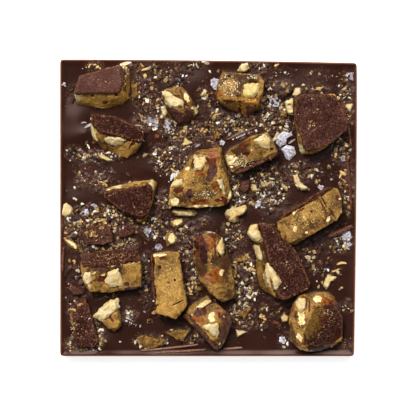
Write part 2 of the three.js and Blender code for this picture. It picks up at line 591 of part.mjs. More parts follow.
const saltFlakes = [
  { x: 2.6, y: 41.6, size: 4.2 }, { x: 25, y: 23.6, size: 4.8 }, { x: 26.6, y: 19.4, size: 4.4 },
  { x: 47.8, y: 44.4, size: 3.8 }, { x: 46, y: -9.6, size: 4.8 }, { x: 47, y: -12.6, size: 3.2 },
  { x: -42, y: -1.6, size: 3.2 }, { x: -38.4, y: 0.4, size: 2.2 }, { x: -18.6, y: 28.6, size: 5.2 },
  { x: -13.6, y: 28, size: 4 }, { x: 22, y: 36, size: 4.4 }, { x: -20, y: -8, size: 4 },
  { x: -16.8, y: -13.4, size: 2.6 }, { x: 4.6, y: 22, size: 1.9 }, { x: 38, y: 6.9, size: 2.4 },
  { x: 16.6, y: 1.2, size: 2.8 }, { x: 25, y: -44.6, size: 2.6 }, { x: -48.8, y: 41.6, size: 1.8 },
  { x: 45.4, y: 16.6, size: 2.2 }, { x: -26.6, y: -36.8, size: 2.4 },
];
const shards = [
  { line: [[45.1, 37.4], [45.8, 34], [46.6, 30], [47.6, 25.6], [48.2, 20.8]], width: 1 },
  { line: [[40.4, -9.8], [46, -7.2], [48.6, -6.2]], width: 1.3 },
  { line: [[-22.8, -48.2], [-12, -47.4], [-3.4, -46.2]], width: 1 },
  { line: [[-17.6, -49], [-5, -48.2], [-0.6, -47.8]], width: 0.9 },
  { line: [[5, -47.7], [8, -47.5], [11.4, -47.2]], width: 0.9 },
  { line: [[6.2, 22.9], [10, 24.7], [16, 27.1]], width: 0.9 },
  { line: [[-49, -13.4], [-49.3, -18], [-49.2, -21.6]], width: 0.8 },
];

// Where crumbs lie: patches, each with its middle, half widths and number of crumbs
const crumbPatches = [
  { x: -15, y: 45, rx: 11, ry: 4.5, count: 15 },
  { x: -15, y: 22, rx: 9, ry: 9, count: 20 },
  { x: -37, y: -3, rx: 11, ry: 4, count: 10 },
  { x: -44, y: -25, rx: 4.5, ry: 22, count: 14 },
  { x: 23, y: 30, rx: 6, ry: 6, count: 10 },
  { x: 20, y: 6, rx: 7, ry: 7, count: 13 },
  { x: 12, y: -26, rx: 4.5, ry: 10, count: 10 },
  { x: 36, y: -20, rx: 6, ry: 7, count: 9 },
  { x: 46, y: 20, rx: 3, ry: 26, count: 13 },
  { x: 18, y: -39, rx: 7, ry: 6, count: 8 },
  { x: 0, y: 0, rx: 47, ry: 47, count: 24 },
];

function crumbAt(x, y, size, random) {
  const seat = slabTop(x, y) + size * (crumbExposed - 0.5);
  const points = [];
  for (let i = 0; i < crumbPoints; i++) {
    const z = 1 - (2 * i + 1) / crumbPoints;
    const turn = i * goldenAngle + random();
    const round = Math.sqrt(1 - z * z);
    const reach = (size / 2) * mix(0.75, 1.1, random());
    const across = round * reach;
    points.push(new THREE.Vector3(
      x + across * Math.cos(turn), y + across * Math.sin(turn), seat + z * reach * crumbFlatness));
  }
  return hullOf(points);
}

// A low lump of chocolate, pecan or toffee with the outline given, standing in the slab
function lumpFrom(outline, rise) {
  const middle = middleOf(outline);
  const level = slabTop(...middle);
  const ring = (scale, z) => outline.map(([x, y]) => new THREE.Vector3(
    mix(middle[0], x, scale), mix(middle[1], y, scale), z));
  return hullOf([
    ...ring(1, level - toppingSink),
    ...ring(1, level + lumpShoulder * rise),
    ...ring(lumpTopShare, level + rise),
  ]);
}

// A thin flake of salt: an uneven plate, one side lifted
function saltFlake({ x, y, size }, random) {
  const lean = mix(saltLean.least, saltLean.most, random());
  const way = random() * Math.PI * 2;
  const points = [];
  for (let i = 0; i < saltCorners; i++) {
    const turn = (i + 0.6 * random()) / saltCorners * Math.PI * 2;
    const reach = (size / 2) * mix(0.72, 1, random());
    const lift = toppingSink + lean * (size / 2 + reach * Math.cos(turn - way));
    const px = x + reach * Math.cos(turn);
    const py = y + reach * Math.sin(turn);
    points.push(new THREE.Vector3(px, py, slabTop(x, y) + lift + saltThickness));
    points.push(new THREE.Vector3(mix(x, px, 0.9), mix(y, py, 0.9), slabTop(x, y) - toppingSink));
  }
  return hullOf(points);
}

// A long thin shard lying along a bent line: one hull for each stretch, joined
function shardFrom({ line, width }) {
  const section = ([x, y], [dx, dy], scale) => {
    const long = Math.hypot(dx, dy);
    const across = [-dy / long * width / 2 * scale, dx / long * width / 2 * scale];
    const level = slabTop(x, y);
    const corner = (side, height) => new THREE.Vector3(
      x + side * across[0], y + side * across[1], level + height);
    return [
      corner(1, -toppingSink),
      corner(-1, -toppingSink),
      corner(shardRidge.near, shardHeight * scale),
      corner(-shardRidge.far, shardHeight * scale * shardRidge.farHeight),
    ];
  };
  const last = line.length - 1;
  const sections = line.map((point, i) => {
    const before = line[Math.max(0, i - 1)];
    const after = line[Math.min(last, i + 1)];
    const scale = i === 0 || i === last ? shardTip : 1;
    return section(point, [after[0] - before[0], after[1] - before[1]], scale);
  });
  const stretches = sections.slice(1).map((end, i) => hullOf([...sections[i], ...end]));
  return stretches.reduce((whole, stretch) => whole.add(stretch));
}

// A patch's crumbs lie on a sunflower spiral, the largest in its middle
function makeCrumbs() {
  const random = randomFrom(71);
  const furthest = half - crumbMargin;
  const crumbs = [];
  for (const { x, y, rx, ry, count } of crumbPatches) {
    for (let i = 0; i < count; i++) {
      const turn = i * goldenAngle + x;
      const reach = Math.sqrt((i + 0.5) / count);
      const px = THREE.MathUtils.clamp(x + rx * reach * Math.cos(turn), -furthest, furthest);
      const py = THREE.MathUtils.clamp(y + ry * reach * Math.sin(turn), -furthest, furthest);
      crumbs.push(crumbAt(px, py, mix(crumbLargest, crumbSmallest, Math.sqrt(i / count)), random));
    }
  }
  return crumbs;
}

function makeSmallToppings() {
  const random = randomFrom(19);
  return [
    ...makeCrumbs(),
    ...smallPecans.map((outline) => lumpFrom(outline, smallPecanRise)),
    ...toffeeBits.map((outline) => lumpFrom(outline, toffeeBitRise)),
    ...chocolateBits.map((outline) => lumpFrom(outline, chocolateBitRise)),
    ...saltFlakes.map((flake) => saltFlake(flake, random)),
    ...shards.map(shardFrom),
  ];
}

// Putting the pieces together

const group = new THREE.Group();

function addNode(name, solid, colour, roughness) {
  const material = new THREE.MeshStandardMaterial({ color: colours[colour], roughness, metalness: 0 });
  const mesh = new THREE.Mesh(geometryFrom(solid), material);
  mesh.name = name;
  group.add(mesh);
}

const taken = [];               // clear space round every piece that has its place

function touches(a, b) {
  const p = a.boundingBox();
  const q = b.boundingBox();
  return [0, 1, 2].every((k) => p.min[k] < q.max[k] && q.min[k] < p.max[k]);
}

function clearOf(solid, spaces) {
  const near = spaces.filter((space) => touches(solid, space));
  return largestOf(near.reduce((body, space) => body.subtract(space), solid));
}

// Loose pecans and the pecans in the brittle take their places first
const pecanParts = loosePecans.map(({ name, lobes, level, proud }) => ({
  name,
  lobes: lobes.map((outline) => pecanFrom({ outline, level, proud, deep: level + shallowSink })),
}));

const blocks = brittle.map((piece, i) => {
  const random = randomFrom(100 + i);
  const whole = chipped(blockFrom(piece), random, chipsPerPiece);
  const pecans = (piece.pecans ?? []).map((pecan) => pecanFrom(pecan, whole));
  return { ...piece, whole, pecans };
});

for (const { name, whole, pecans, coat } of blocks) {
  const pecanSpaces = pecans.map((pecan) => grown(pecan, gap));
  const others = [...taken];
  pecans.forEach((pecan, k) => {
    const letter = pecans.length > 1 ? `_${'abc'[k]}` : '';
    addNode(`pecan_${name}${letter}`, clearOf(pecan, [...others, ...pecanSpaces.slice(0, k)]), 'pecan', 0.6);
  });
  const block = clearOf(whole, [...others, ...pecanSpaces]);
  if (coat) {
    const parts = splitCoat(block, coatPlane(coat, whole));
    addNode(`toffee_${name}`, largestOf(parts.rest), 'toffee', 0.5);
    addNode(`coat_${name}`, largestOf(parts.coat), 'coat', 0.45);
  } else {
    addNode(`toffee_${name}`, block, 'toffee', 0.5);
  }
  taken.push(grown(whole, gap), ...pecanSpaces);
}

for (const { name, lobes } of pecanParts) {
  const whole = lobes.reduce((body, lobe) => body.add(lobe));
  addNode(name, clearOf(whole, taken), 'pecan', 0.6);
  taken.push(...lobes.map((lobe) => grown(lobe, gap)));
}

lowPieces.forEach(({ name, foot, crown, colour }, i) => {
  const whole = chipped(blockFrom({ foot, crown, sunk: shallowSink }), randomFrom(300 + i), 2);
  addNode(name, clearOf(whole, taken), colour, 0.6);
  taken.push(grown(whole, gap));
});

const toppings = makeSmallToppings().reduce((body, topping) => body.add(topping));
const slab = taken.reduce((body, space) => body.subtract(space), makeSlab().add(toppings));
addNode('slab', largestOf(slab), 'chocolate', 0.4);

export default group;
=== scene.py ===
"""A square slab of dark chocolate topped with broken pecan brittle, pecans, crumbs and flaked salt.

Lengths are in millimetres, from the middle of the slab's flat underside, +X right, +Y away from the
viewer and +Z up. A finished piece is brought to metres at the end, by finish_piece.
"""
import math
import random
from functools import partial

import bmesh
import bpy
import numpy as np
from bpy.props import FloatProperty, FloatVectorProperty, IntProperty, PointerProperty
from mathutils import Euler, Matrix, Vector, noise
from mathutils.bvhtree import BVHTree


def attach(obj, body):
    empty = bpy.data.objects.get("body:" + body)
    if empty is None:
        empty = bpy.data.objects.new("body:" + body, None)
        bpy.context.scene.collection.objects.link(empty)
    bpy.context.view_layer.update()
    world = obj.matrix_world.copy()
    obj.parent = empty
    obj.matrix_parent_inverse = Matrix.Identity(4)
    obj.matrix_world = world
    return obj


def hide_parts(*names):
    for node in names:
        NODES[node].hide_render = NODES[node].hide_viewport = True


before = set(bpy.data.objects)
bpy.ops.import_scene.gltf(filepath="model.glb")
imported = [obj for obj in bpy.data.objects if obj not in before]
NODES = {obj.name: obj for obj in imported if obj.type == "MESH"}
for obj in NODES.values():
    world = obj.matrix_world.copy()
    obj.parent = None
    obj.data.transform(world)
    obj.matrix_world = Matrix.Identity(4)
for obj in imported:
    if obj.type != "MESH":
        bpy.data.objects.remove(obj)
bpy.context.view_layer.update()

bl_info = {
    "name": "Pecan brittle chocolate slab",
    "version": (1, 0, 0),
    "blender": (4, 5, 0),
    "location": "View3D > Sidebar > Brittle slab",
    "description": "Dresses a chocolate slab topped with broken pecan brittle",
    "category": "Add Mesh",
}

MM = 0.001                      # metres in a millimetre
MERGED = 0.001                  # corners closer than this are one
SKY = 30                        # above everything on the slab

# The slab
SLAB_HALF = 50
SLAB_THICKNESS = 6
EAST_SHORTFALL = 1              # the slab is this much narrower along its near edge
NORTH_SHORTFALL = 1.2           # and this much shorter along its right edge
EDGE_BULGE = 0.25
CORNER_PULL = 0.3               # how far a corner of the outline is drawn in
SWELL_HEIGHT = 0.12
LIP_CREST = 0.15                # from the slab's edge
LIP_FOOT = 2.3
LIP_HEIGHT = 0.58
LIP_EDGE = 0.28
RIM_GLOW_WIDTH = 0.55                # the lip's thin edge is painted a glowing orange brown this far in, as if lit through: painted glow
SLAB_GROWTH = 0.15              # the poured edge is soft, and stands this much proud of the part's
POURED_ABOVE = 5.5              # below this height the slab has set against its tray
CLIMB_REACH = 0.5               # how near a chunk the chocolate climbs
WAVE_SIZE = 15
LUMP_SIZE = 1.7
GRIT_SIZE = 0.9                 # of the finest unevenness under a drift
GRIT_HEIGHT = 0.03
LIP_USUAL = 0.65                # share of its full height that the lip usually has
LIP_UNEVEN = 0.6                # and how much more or less of it the lip gets
LIP_WAVE = 9
CLIMB_WAVE = 1.8
RIM_SIDE_GLOW = 0.1                  # and how much of that painted glow the lip's side gets

# The slab's side and underside: how far each ring of its mesh is drawn in, and its height
SIDE_RINGS = ((0.15, 5.4), (0.25, 3), (0.2, 0.5), (0.15, 0.15), (0.35, 0), (15, 0), (15, 0))

# How a surface is broken: how far it is moved out, the depth of its chips, and its relief, as the
# size and the height of its waves
COAT_BREAK = (0.2, 0.3, ((3.5, 0.14), (1.3, 0.1), (0.6, 0.05)))
LOW_COAT_BREAK = (0.1, 0.4, ((2.6, 0.35), (1.1, 0.25), (0.6, 0.1)))
PECAN_BREAK = (0.16, 0.6, ((2.1, 0.32), (0.9, 0.2), (0.5, 0.08)))
CRUMBLY_BREAK = (0.1, 0.5, ((1.8, 0.6), (0.9, 0.4)))
FLAKE_BREAK = (0.1, 0.5, ((2.2, 0.3), (0.9, 0.22)))
SMALL_PECAN_BREAK = (0.05, 0.3, ((1.8, 0.16), (0.7, 0.1)))
TOFFEE_BIT_BREAK = (0.05, 0.3, ((1.6, 0.35), (0.7, 0.18)))
CHOCOLATE_BIT_BREAK = (0.05, 0.3, ((2, 0.15), (0.8, 0.08)))
SHARD_BREAK = (0, 0, ((1.5, 0.12), (0.5, 0.08)))
CHIP_SIZE = 1.5

# Size of the faces on the small pieces
CRUMBLY_VOXEL = 0.22
FLAKE_VOXEL = 0.2
SMALL_PECAN_VOXEL = 0.16
TOFFEE_BIT_VOXEL = 0.18
CHOCOLATE_BIT_VOXEL = 0.2

# Toffee
TOFFEE_PROUD = 0.15
TOFFEE_WAVES = ((4.5, 1), (1.7, 0.5), (0.7, 0.3))  # size, and share of the relief's height
PORE_DEPTH = 0.5
WET_FOOT = 0.8                  # chocolate wets a chunk's toffee this far above the slab
GOLD_LIGHTER = 0.25
DARK_DARKER = 0.35

# Pecans: skin is left on this share of a piece's height at its foot, and covers this much there
SKIN_FOOT = 0.55
SKIN_COVER = 0.8

# Marks by the piece that they are on and by kind, as seen from above: x, y, half length, half width,
# and turn in degrees where it has one
MARKS = {
    "toffee_01": {
        "pore": [(-39, 37.5, 0.45, 0.45), (-30.9, 37.8, 0.5, 0.4)],
        "cream": [(-44, 37.4, 1.2, 1), (-37, 33.6, 1.4, 0.35, 5)],
        "gold": [(-30, 36.6, 3, 2), (-28, 39, 1.4, 3.6)],
        "dark": [(-37, 38.2, 6, 0.7), (-27.6, 43, 1.6, 4.4), (-41, 34, 3, 1.2, -20),
            (-30, 34.6, 2.4, 1, 20)],
        "skin": [(-34.5, 35.5, 1.1, 0.4, 10), (-28.4, 40.6, 0.5, 1.6)], "grain": [(-27.8, 45, 1.4, 2.2)]},
    "toffee_02": {
        "dark": [(-36.2, 20.6, 4, 3, -20), (-29.4, 21, 2.4, 0.4, 35)], "gold": [(-27.4, 19.6, 3.4, 3, 30)],
        "cream": [(-38.9, 25.5, 3, 0.6, -69), (-30.6, 17.2, 1.3, 0.7, -50)],
        "skin": [(-25.6, 21.6, 1.8, 0.5, 50), (-34, 19.4, 0.5, 1.4)]},
    "toffee_03": {
        "cream": [(-33.4, 5.9, 2, 0.5, 5), (-30.8, 7.1, 1.5, 0.6, 10), (-19.3, 7, 0.8, 2.2, -8)],
        "gold": [(-26, 8.2, 4, 0.9, 8)], "dark": [(-27.4, 7.6, 2.4, 0.5, 8), (-21.3, -2.5, 1.2, 3.4, -15)],
        "smear_and_pore_shade": [(-28, -0.6, 6, 0.9, -42)]},
    "toffee_04": {
        "skin": [(0.9, 15.4, 1.5, 1.6, 15), (-10.4, 5.8, 1.9, 0.9, 5), (5.2, 2.4, 1, 1.2, 30),
            (-3.4, 2, 2.4, 0.6, 15), (2.9, 2.6, 1, 0.6)],
        "russet": [(1.6, 17.6, 2, 2.6, 10), (4.4, 3, 1.8, 1.4)],
        "amber": [(-2.8, 11.6, 2, 0.9, -8), (2.4, 7.4, 1.2, 2, 25), (-2.6, 1.5, 3, 0.5, 6)],
        "mauve": [(1, 12, 1.5, 3.3, -8), (-6.6, 4.4, 1.3, 1.9, -10)],
        "dark": [(-3, 4.2, 6, 1.8), (0, 6.6, 2, 1.4), (-8.6, 3.4, 1.6, 1.6), (-4.6, 16, 0.8, 3, -25)],
        "gold": [(-7.4, 10.4, 2.2, 3, 20), (3.6, 14, 0.8, 4, 5), (-4.4, 7.2, 5, 0.7)],
        "sugar_and_sheen": [(-6, 10, 3, 4), (3.6, 14, 1.4, 5), (-1, 7, 4, 2)],
        "cream": [(4.2, 7.4, 0.6, 2.4, 28), (-7, 13.2, 0.6, 0.7, -30), (-2, 0.3, 4, 0.5),
            (7.2, 4, 0.4, 2.4, -20), (-11.5, 1.8, 1.3, 1.3, -20)],
        "grain": [(-1, 4.4, 4, 1.6)], "pore": [(-6.2, 3.4, 0.3, 0.6, -10)]},
    "toffee_05": {
        "cream": [(-7.4, 37.2, 0.8, 1.4, 25), (-4.8, 32.8, 1.3, 1, -30)],
        "skin": [(-7.6, 34.8, 0.5, 1.6, 20), (-9, 38.4, 0.4, 1.6, 20)],
        "gold": [(-11.5, 39.2, 4, 1.5, -10)], "dark": [(-14, 40.4, 2, 0.5, 10)]},
    "toffee_06": {
        "grain": [(7, 41, 3.4, 4), (14.6, 44, 2.6, 1)],
        "gold": [(6.8, 40, 3, 3.4), (14.4, 36.4, 2.6, 0.9), (8, 36.8, 4, 0.7), (17.6, 40, 0.9, 3.6)],
        "amber": [(3.4, 37.8, 1, 1.6, 20), (18, 36.8, 0.9, 1.4)], "cream": [(14, 36.2, 2, 0.4, -8)],
        "pore": [(7.1, 44.3, 0.4, 0.4), (13.6, 44.4, 0.35, 0.35)],
        "dark": [(7, 46, 2.4, 0.7), (13, 43.8, 3.5, 1, -5), (10.4, 41, 0.8, 3.4)]},
    "toffee_07": {"gold": [(33, 18.2, 3, 0.8)], "cream": [(31.4, 19.6, 0.9, 1.8, 10)]},
    "toffee_08": {
        "cream": [(7.6, 16.2, 1.7, 1.7)], "dark": [(11, 20, 3.4, 1.8, 25), (13, 14, 4, 0.8, 22)],
        "skin": [(11.4, 20.8, 1.3, 0.8, 20), (12.8, 18.2, 1.1, 0.6)], "pore": [(21.3, 19.7, 0.55, 0.4)],
        "gold": [(20.6, 18, 2.2, 0.9, 10)], "grain": [(11.6, 15.4, 3.4, 2, 20)],
        "amber": [(13.2, 22.4, 1.1, 0.7, 20)]},
    "toffee_09": {
        "crack": [(38.8, 2, 0.22, 2.2, 27), (41.6, -1.8, 0.18, 2.4, 33)],
        "cream": [(29.2, -7.5, 0.7, 0.9), (32.9, -8.3, 0.45, 0.35), (28.7, -1.8, 0.35, 0.4),
            (32.1, -3.3, 0.35, 0.4), (40.3, -4, 0.5, 1.4, -30), (44.2, 3, 0.5, 0.35)],
        "pore": [(34.6, -1.3, 0.45, 0.4), (28.3, -5.7, 0.35, 0.3)],
        "skin": [(27, -6.8, 0.4, 0.3), (39, -4.2, 0.5, 0.4), (32, -9, 0.7, 0.4), (25.8, -10, 0.5, 0.8),
            (43.3, 3.3, 0.6, 1), (38.4, 0.6, 0.3, 3.6, 27), (31, -0.8, 1.2, 0.3, 30),
            (35.6, 2.6, 0.9, 0.3, 20)],
        "gold": [(33, -2, 8, 3, 30), (39.6, 0, 1, 2, 27)], "sugar_and_sheen": [(34, -2, 8, 3.6, 28)],
        "dark": [(30, -3, 1.6, 3, 30), (34, -5, 1, 2.4, 30), (26.8, -4, 1.2, 2)]},
    "toffee_10": {
        "smear_and_pore_shade": [(-1.8, -15, 1.2, 3.6, 12), (-3.8, -12.6, 0.9, 1.8, 20)],
        "skin": [(-2.6, -13, 2.2, 4.4, 8), (1.2, -9.2, 2, 0.7, -10), (2.2, -12.6, 0.4, 2.8, 5)],
        "russet": [(-2, -11, 3.4, 1.6, 15), (0.6, -23.6, 2.2, 2)],
        "amber": [(1, -11.6, 1.2, 2.4), (2.6, -22.4, 2.4, 2.4)],
        "cream": [(0.8, -8, 2, 0.5, -10), (4.4, -21.8, 0.6, 1, -15)],
        "dark": [(-2.4, -20, 1.6, 4, 20), (6, -17, 1.4, 6), (3, -18, 2, 2)], "pore": [(5, -27, 0.35, 0.25)],
        "gold": [(0.6, -26, 4, 1.6, -30), (-2.6, -9.4, 1.2, 1.2)]},
    "toffee_11": {
        "dark": [(17.5, -12, 1.4, 4), (19, -19, 1, 3, 10)], "skin": [(17, -7.5, 0.8, 1.8)],
        "gold": [(19.6, -30, 1.6, 1.4)]},
    "toffee_12": {
        "dark": [(-34.5, -19.8, 5.8, 2.2), (-37, -25.4, 1.6, 2)],
        "mauve": [(-36.8, -20.6, 2.4, 0.9, 15), (-27.6, -25.6, 0.9, 0.7), (-26, -27.2, 4, 0.5, 4)],
        "grain": [(-31, -18.6, 3.6, 1), (-26, -18, 2, 1.6)], "skin": [(-35.3, -23.8, 2, 1.1, 15)],
        "cream": [(-35.4, -22.8, 0.7, 0.5, 30), (-38.6, -22, 0.9, 0.25, 25)],
        "gold": [(-25.6, -21, 3, 4), (-38, -26.6, 1.4, 1.4)]},
    "toffee_13": {
        "crack": [(-10.3, -32, 2.4, 0.2, 24)],
        "pore": [(-16.3, -20.1, 0.5, 0.3, 20), (-11.3, -24.3, 0.4, 0.35), (-13.4, -25.2, 0.3, 0.25),
            (-17, -32.7, 0.4, 0.3)],
        "skin": [(-18.8, -18.6, 0.7, 1.8), (-15.4, -17, 1.2, 0.6), (-19.4, -27, 0.4, 5)],
        "sugar_and_sheen": [(-13, -26, 5.6, 10)], "cream": [(-16.6, -15.9, 2.2, 0.5, 5)],
        "gold": [(-13, -27, 4, 7), (-12.6, -34, 3, 2)], "dark": [(-8.6, -23, 0.7, 6)]},
    "toffee_14": {
        "amber": [(-3.2, -37.4, 2.4, 1.3, -25)],
        "skin": [(-1.2, -35.4, 0.8, 1.4), (3.6, -36.4, 0.4, 1.6, 10)],
        "mauve": [(-3.2, -35.6, 2, 1.1, 10), (4.6, -42, 0.9, 2.6, -10), (5.2, -36.8, 1.2, 1.6, -30),
            (1.2, -31.4, 1.4, 1), (7, -39.4, 0.9, 2.6, -15)],
        "cream": [(1, -36.8, 1.1, 1.6, 10)], "russet": [(4.2, -34.8, 1.3, 1.7, -45)],
        "dark": [(5.6, -40, 2.2, 5, -15), (3.8, -46, 1.6, 3), (-6.6, -36.2, 1, 1.4)],
        "gold": [(-4.4, -38.2, 1.6, 0.8, -10)]},
    "toffee_15": {
        "cream": [(31.2, -36.6, 1.1, 3.6, 6), (31.2, -32.8, 1.5, 1.9, 15), (30.6, -43.6, 0.7, 1.6, 25),
            (36.6, -30.6, 1.2, 1.1), (41, -47.4, 2, 0.3, 25)],
        "skin": [(29.4, -36, 0.3, 2.4), (33.9, -32.4, 0.35, 2.4), (41.6, -32.4, 1, 0.6, -30)],
        "amber": [(40, -31.6, 3.4, 1.5, -14), (32.2, -45.6, 0.9, 0.8), (43.2, -46, 1.6, 1, 40)],
        "gold": [(32.4, -34, 0.9, 4)], "russet": [(28.2, -34.4, 0.7, 2.6)],
        "dark": [(35.4, -38, 1.6, 3.4, -20), (38, -34, 3, 0.7, -8), (28.4, -43, 0.8, 4, 10)],
        "pore": [(30.5, -39.9, 0.35, 0.35)],
        "smear_and_pore_shade": [(44.6, -38.4, 1.8, 6, -6), (38, -48, 4.4, 1.2, 8), (34.6, -46.8, 1.4, 1.6),
            (43, -33.8, 2, 1.4, -20)]},
    "toffee_16": {"dark": [(-31, -36.6, 0.6, 1.2, 30)], "skin": [(-33.4, -36.6, 0.4, 2, 40)]},
    "coat_01": {
        "dust": [(-34.2, 42.2, 0.9, 0.8), (-32.4, 41.8, 0.6, 0.4), (-37.4, 40.6, 1.2, 0.4, 20),
            (-35, 40.6, 0.7, 0.4), (-30.4, 46, 0.5, 1.6)]},
    "coat_02": {"dust": [(-30.6, 26, 0.5, 0.7), (-35.6, 30.6, 0.9, 0.5), (-28, 23.6, 4, 0.4, -18)]},
    "coat_03": {
        "dust": [(-22.8, -1.8, 0.6, 0.8), (-25, 0.2, 0.4, 0.4), (-32, 4.6, 2.4, 0.4, 20)],
        "gold": [(-28.6, 7.2, 3, 0.7, 8), (-24, 8, 3.6, 1, 10)]},
    "coat_05": {"dust": [(-8.4, 31.4, 0.8, 1)], "gold": [(-9.6, 33, 1.8, 1, -25), (-7.2, 35, 1, 1.6, 20)]},
    # coat 06 faces away from the light: its gold, glow and dust marks are partly toffee and dust, partly
    # painted light on its shade
    "coat_06": {
        "gold": [(10, 37.1, 8, 0.9, -2), (16.6, 34.4, 1, 1.4, 20), (5.8, 33.6, 2.2, 1, -15),
            (12, 34.8, 1.4, 1.2), (8.8, 34.4, 2, 1.2), (3.6, 36.2, 1.4, 0.8, -20)],
        "glow": [(14.2, 35.6, 2.8, 1.3, -8), (12, 32.8, 0.8, 2.2, 15), (4.4, 35, 1.4, 0.8, -20)],
        "skin": [(10.4, 34.4, 0.9, 2, 10), (12.8, 30.8, 1.4, 0.8), (6.8, 36, 2.4, 0.4, -4)],
        "dust": [(8, 33.8, 2.6, 1.8), (15, 33, 2, 1.8), (5.4, 34.8, 1.6, 1.2)]},
    "coat_07": {
        "dust": [(36.4, 32.4, 1.1, 0.8, 20), (34.6, 28.6, 1.2, 1), (40.3, 34.5, 0.4, 0.4),
            (37.4, 38.4, 4, 0.4, -4)],
        "skin": [(36.7, 28, 0.18, 3)]},
    "coat_11": {
        "dust": [(26, -25.4, 0.9, 0.8), (24.4, -14, 0.8, 0.6), (27, -20, 1.6, 3, 20),
            (21.8, -8.4, 0.6, 0.4), (33, -26, 0.4, 2)]},
    "coat_12": {"dust": [(-34, -16.4, 6, 1.2, 8), (-28, -16, 3, 1.2, 8)]},
    "coat_14": {"dust": [(-4.6, -41.4, 3, 0.5, -48)], "gold": [(-6, -38.6, 1.2, 0.5, -45)]},
    "coat_15": {
        "dust": [(40, -35.2, 2, 1.2), (41.4, -38, 1.8, 1.8), (37.4, -42.4, 0.5, 3.4, -30),
            (34.6, -45.8, 2, 0.8, 40)],
        "olive": [(34.6, -39, 2.8, 5.2, -20), (37, -34, 1.8, 1)],
        "skin": [(38, -39, 0.3, 4.4, -24), (33.6, -46.4, 1.6, 0.6, 30)],
        "glow": [(43.6, -45.4, 1.8, 0.8, 45)]},
    "coated_piece_1": {"dust": [(-46.4, -38, 0.8, 5, 10), (-43, -32.6, 1.6, 0.6, 10)]},
    "coated_piece_2": {"dust": [(-39.4, -8.8, 2.4, 1.4), (-36, -6.8, 1, 0.6)]},
    "coated_piece_3": {"dust": [(-30.8, -7.6, 1.2, 1.2)]},
    "pecan_05": {"skin": [(-9.6, 34, 0.8, 0.7), (-15.2, 37, 0.5, 0.9)]},
    "pecan_06": {"skin": [(17.6, 39.6, 0.5, 1.4)], "gold": [(14.8, 39.4, 3.4, 2.6, 20)]},
    "pecan_07": {"skin": [(28.7, 33.6, 0.4, 2), (27.2, 34.8, 0.7, 0.4)]},
    "pecan_15": {"skin": [(33, -32, 0.5, 2)]},
    "pecan_11_c": {"skin": [(21.2, -25.4, 0.4, 2.2, 12)]},
    "loose_pecan_1": {"skin": [(11.4, 45, 1.6, 0.5, 5)]},
    "loose_pecan_2": {"skin": [(9.8, -3.4, 0.8, 0.8), (6.4, -3.4, 0.8, 0.8)]},
    "loose_pecan_3": {"skin": [(-11.6, -2, 1.4, 0.4, -25)]},
    "loose_pecan_4": {"skin": [(28.2, 9, 0.7, 2.6), (29.4, 6, 0.7, 0.9)]},
    "toffee_bits": {
        "cream": [(-11.8, -10.4, 1.9, 2, -30), (-10.4, -4.8, 1.7, 1, 15), (-46, -12.2, 2.4, 0.5, -38)]},
}

# How light the toffee of each chunk is, from dark olive brown at 0 to pale gold at 1
TOFFEE_TONES = {
    "01": 0.74, "02": 0.42, "03": 0.7, "04": 0.4, "05": 0.18, "06": 0.14, "07": 0.45, "08": 0.3, "09": 0.29,
    "10": 0.18, "11": 0.34, "12": 0.36, "13": 0.46, "14": 0.33, "15": 0.32, "16": 0.62,
}

# How much rougher than the others a chunk is broken
ROUGHER = {"04": 1.8, "10": 1.4, "14": 1.3, "15": 1.4}

# How far chocolate has run from the coat over the toffee, where that isn't the usual
USUAL_RUN = 0.5
RUN = {"06": -1, "15": 0}

# How light each coat is, and each low coated piece; coat 06, which faces away from the light, is this light
# partly as painted light
COAT_TONES = {
    "01": 0.62, "02": -0.06, "03": 0.12, "05": 0.5, "06": 1, "07": 0.24, "08": 0.4, "09": -0.05, "11": 0.08,
    "12": 0.13, "13": 0.1, "14": 0.36, "15": 0.06,
}
LOW_COAT_TONES = {"coated_piece_1": 0.15, "coated_piece_2": 0.4, "coated_piece_3": 0.4}

# Small toppings with an outline of their own, and how high they rise
SMALL_PECANS = [
    [(-49, 1), (-48, 1.7), (-46.5, 0.5), (-45.8, -0.9), (-46.4, -2.5), (-48, -3.1), (-49.4, -2.4)],
    [(38.7, -26.6), (39.4, -24), (40, -22.2), (41.2, -22.9), (43.1, -23.4), (42.8, -24.3), (41.1, -25),
     (40.7, -26.3), (39.8, -27.8)],
    [(-37.1, 17.8), (-35.6, 18), (-32, 15.8), (-33.6, 15.6), (-36.6, 16.8)],
    [(24.4, -37.2), (25.4, -35.6), (27, -36.8), (26.8, -38.4), (25, -38.6)],
    [(-3, 37.4), (-1.4, 40), (-0.5, 39.4), (-0.9, 38)],
    [(-8.6, 20.9), (-8, 23.7), (-5.2, 21.9), (-6.8, 21.2)],
    [(-22.8, 46.5), (-20, 47.7), (-19.8, 46.6), (-22.4, 46.1)],
    [(14.6, 5.4), (14.8, 7.8), (16.2, 7.9), (16.8, 5.6)], [(9.2, -41.2), (13.2, -41.9), (9.8, -43.6)],
    [(46.4, 35), (49, 35.2), (47.8, 32.2), (46.2, 34)],
    [(-15.9, 33.4), (-14.6, 34.2), (-13.8, 32), (-14.6, 30.6), (-15.6, 31)],
    [(28.2, 37.8), (29.4, 40.4), (31, 40.6), (31.3, 38.6), (29.6, 37.4)],
]
